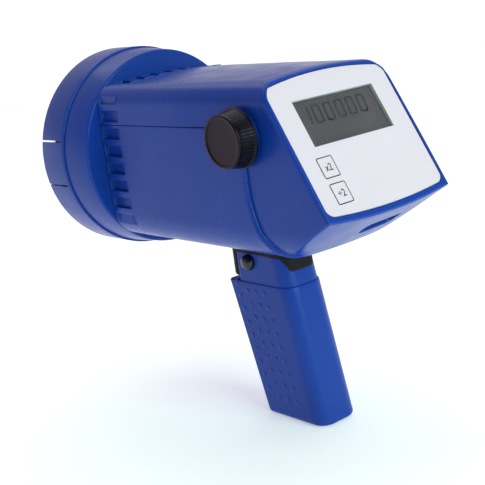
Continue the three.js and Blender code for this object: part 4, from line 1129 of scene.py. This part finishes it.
def trigger():
    """The trigger's finger pad, hollowed and round-edged, with the stem that slides into the grip."""
    low, high = box_in_mm("trigger")
    half, front, bottom, top = high[0], low[1], low[2], high[2]
    middle = (bottom + top) / 2
    rows = []
    for depth, inset in ((TRIGGER_THICKNESS, 0.3), (TRIGGER_THICKNESS - 0.3, 0), (1.9, 0), (0.9, 0.16),
                         (0.3, 0.6), (0.05, 1.3)):
        radius = max(2.2 - inset, 0.8)
        loop = rounded_box(inset - half, half - inset, bottom + inset, top - inset, radius, 8)
        rows.append([(x, front + depth, z) for x, z in loop])
    for share in (0.85, 0.6, 0.3, 0.05):
        hollow = front + 0.05 + 1.0 * (1 - share ** 2)
        rows.append([(x * share, hollow, middle + (z - middle) * share) for x, _, z in rows[5]])
    skin = Skin()
    skin.solid(rows)
    stem = rounded_box(-STEM_HALF, STEM_HALF, STEM_BOTTOM, STEM_TOP, 0.8, 4)
    stem_ys = (front + TRIGGER_THICKNESS - 0.5, high[1] - 4)
    skin.grid([[(x, y, z) for x, z in stem] for y in stem_ys], closed=True)
    skin.make("trigger_pad", black, body="trigger", stands_for=["trigger"], sharp=50)


trigger()


# ---- floor, light, camera
FLOOR_RADIUS = 2.4


def stage_floor():
    mesh = bpy.data.meshes.new("floor")
    rim = [(FLOOR_RADIUS * cos(a), FLOOR_RADIUS * sin(a), 0) for a in turn(96)]
    mesh.from_pydata(rim, [], [tuple(range(len(rim)))])
    floor = bpy.data.objects.new("floor", mesh)
    floor.location.z = -0.0005
    made, tree, shader = new_material("floor_paper")
    shader.inputs["Roughness"].default_value = 0.9
    shader.inputs["Emission Color"].default_value = (1, 1, 1, 1)
    shader.inputs["Emission Strength"].default_value = 0.38
    tone = ramp(tree, noise(tree, 3.0, 2.0), [(0.3, (0.9, 0.9, 0.905)), (0.7, (0.93, 0.93, 0.93))])
    link(tree, tone, shader.inputs["Base Color"])
    mesh.materials.append(made)
    show(floor)


stage_floor()

world = bpy.data.worlds.new("studio")
bpy.context.scene.world = world
world.use_nodes = True
world_tree = world.node_tree
background = world_tree.nodes["Background"]
coords = world_tree.nodes.new("ShaderNodeTexCoord")
split = world_tree.nodes.new("ShaderNodeSeparateXYZ")
link(world_tree, coords.outputs["Generated"], split.inputs[0])


def world_ramp(value, low, high, stops):
    spread = world_tree.nodes.new("ShaderNodeMapRange")
    spread.inputs["From Min"].default_value = low
    spread.inputs["From Max"].default_value = high
    link(world_tree, value, spread.inputs["Value"])
    return ramp(world_tree, spread.outputs["Result"], stops)


def towards(direction):
    dot = world_tree.nodes.new("ShaderNodeVectorMath")
    dot.operation = "DOT_PRODUCT"
    dot.inputs[1].default_value = direction
    link(world_tree, coords.outputs["Generated"], dot.inputs[0])
    return dot.outputs["Value"]


# A white sweep in front of the lamp, with a dimmer room above and behind it.
height_tone = world_ramp(split.outputs["Z"], 0, 1, [
    (0.0, (1.15, 1.15, 1.15)), (0.07, (1.1, 1.1, 1.1)), (0.17, (0.62, 0.56, 0.60)),
    (0.6, (0.5, 0.5, 0.52)), (1.0, (0.7, 0.7, 0.72))])
side_tone = world_ramp(towards((-0.62, -0.78, 0.0)), -0.5, 0.55, [
    (0.0, (0.28, 0.27, 0.30)), (1.0, (1, 1, 1))])
mixed = world_tree.nodes.new("ShaderNodeMix")
mixed.data_type = "RGBA"
mixed.blend_type = "MULTIPLY"
mixed.inputs["Factor"].default_value = 1.0
link(world_tree, height_tone, mixed.inputs["A"])
link(world_tree, side_tone, mixed.inputs["B"])
link(world_tree, mixed.outputs["Result"], background.inputs["Color"])
background.inputs["Strength"].default_value = 1.0


def area_light(name, position, target, size, power, colour=(1, 1, 1)):
    data = bpy.data.lights.new(name, "AREA")
    data.shape = "RECTANGLE"
    data.size, data.size_y = size
    data.energy = power
    data.color = colour
    light = bpy.data.objects.new(name, data)
    light.location = position
    light.rotation_euler = (Vector(position) - Vector(target)).to_track_quat("Z", "Y").to_euler()
    show(light)


middle = (0.0, -0.03, 0.13)
area_light("rear_softbox", (0.0, 1.45, 0.70), middle, (1.0, 0.9), 19, (0.60, 1.0, 0.84))
area_light("side_fill", (1.5, -0.5, 0.35), middle, (0.8, 0.8), 0.9, (1.0, 0.55, 1.0))
area_light("floor_wash", (-0.9, -1.1, 2.3), (-0.8, -0.95, 0.0), (3.0, 3.0), 28)

# The photo's viewpoint, solved from the lamp's rims and the panel.
AZIMUTH, ELEVATION, ROLL = math.radians(141.563), math.radians(13.73), math.radians(-7.849)
DISTANCE, TARGET = 533.5, np.array([56.036, 177.357, -33.783])
LENS, SENSOR = 79.3336, 36
away = np.array([sin(AZIMUTH) * cos(ELEVATION), -cos(AZIMUTH) * cos(ELEVATION),
                 sin(ELEVATION)])
data = bpy.data.cameras.new("camera")
data.sensor_width = SENSOR
data.lens = LENS
camera = bpy.data.objects.new("camera", data)
camera.location = place([TARGET + away * DISTANCE])[0]
level = (-Vector(away)).to_track_quat("-Z", "Y").to_matrix().to_4x4()
camera.rotation_euler = (level @ Matrix.Rotation(ROLL, 4, "Z")).to_euler()
show(camera)
bpy.context.scene.camera = camera
bpy.context.scene.view_settings.view_transform = "Standard"
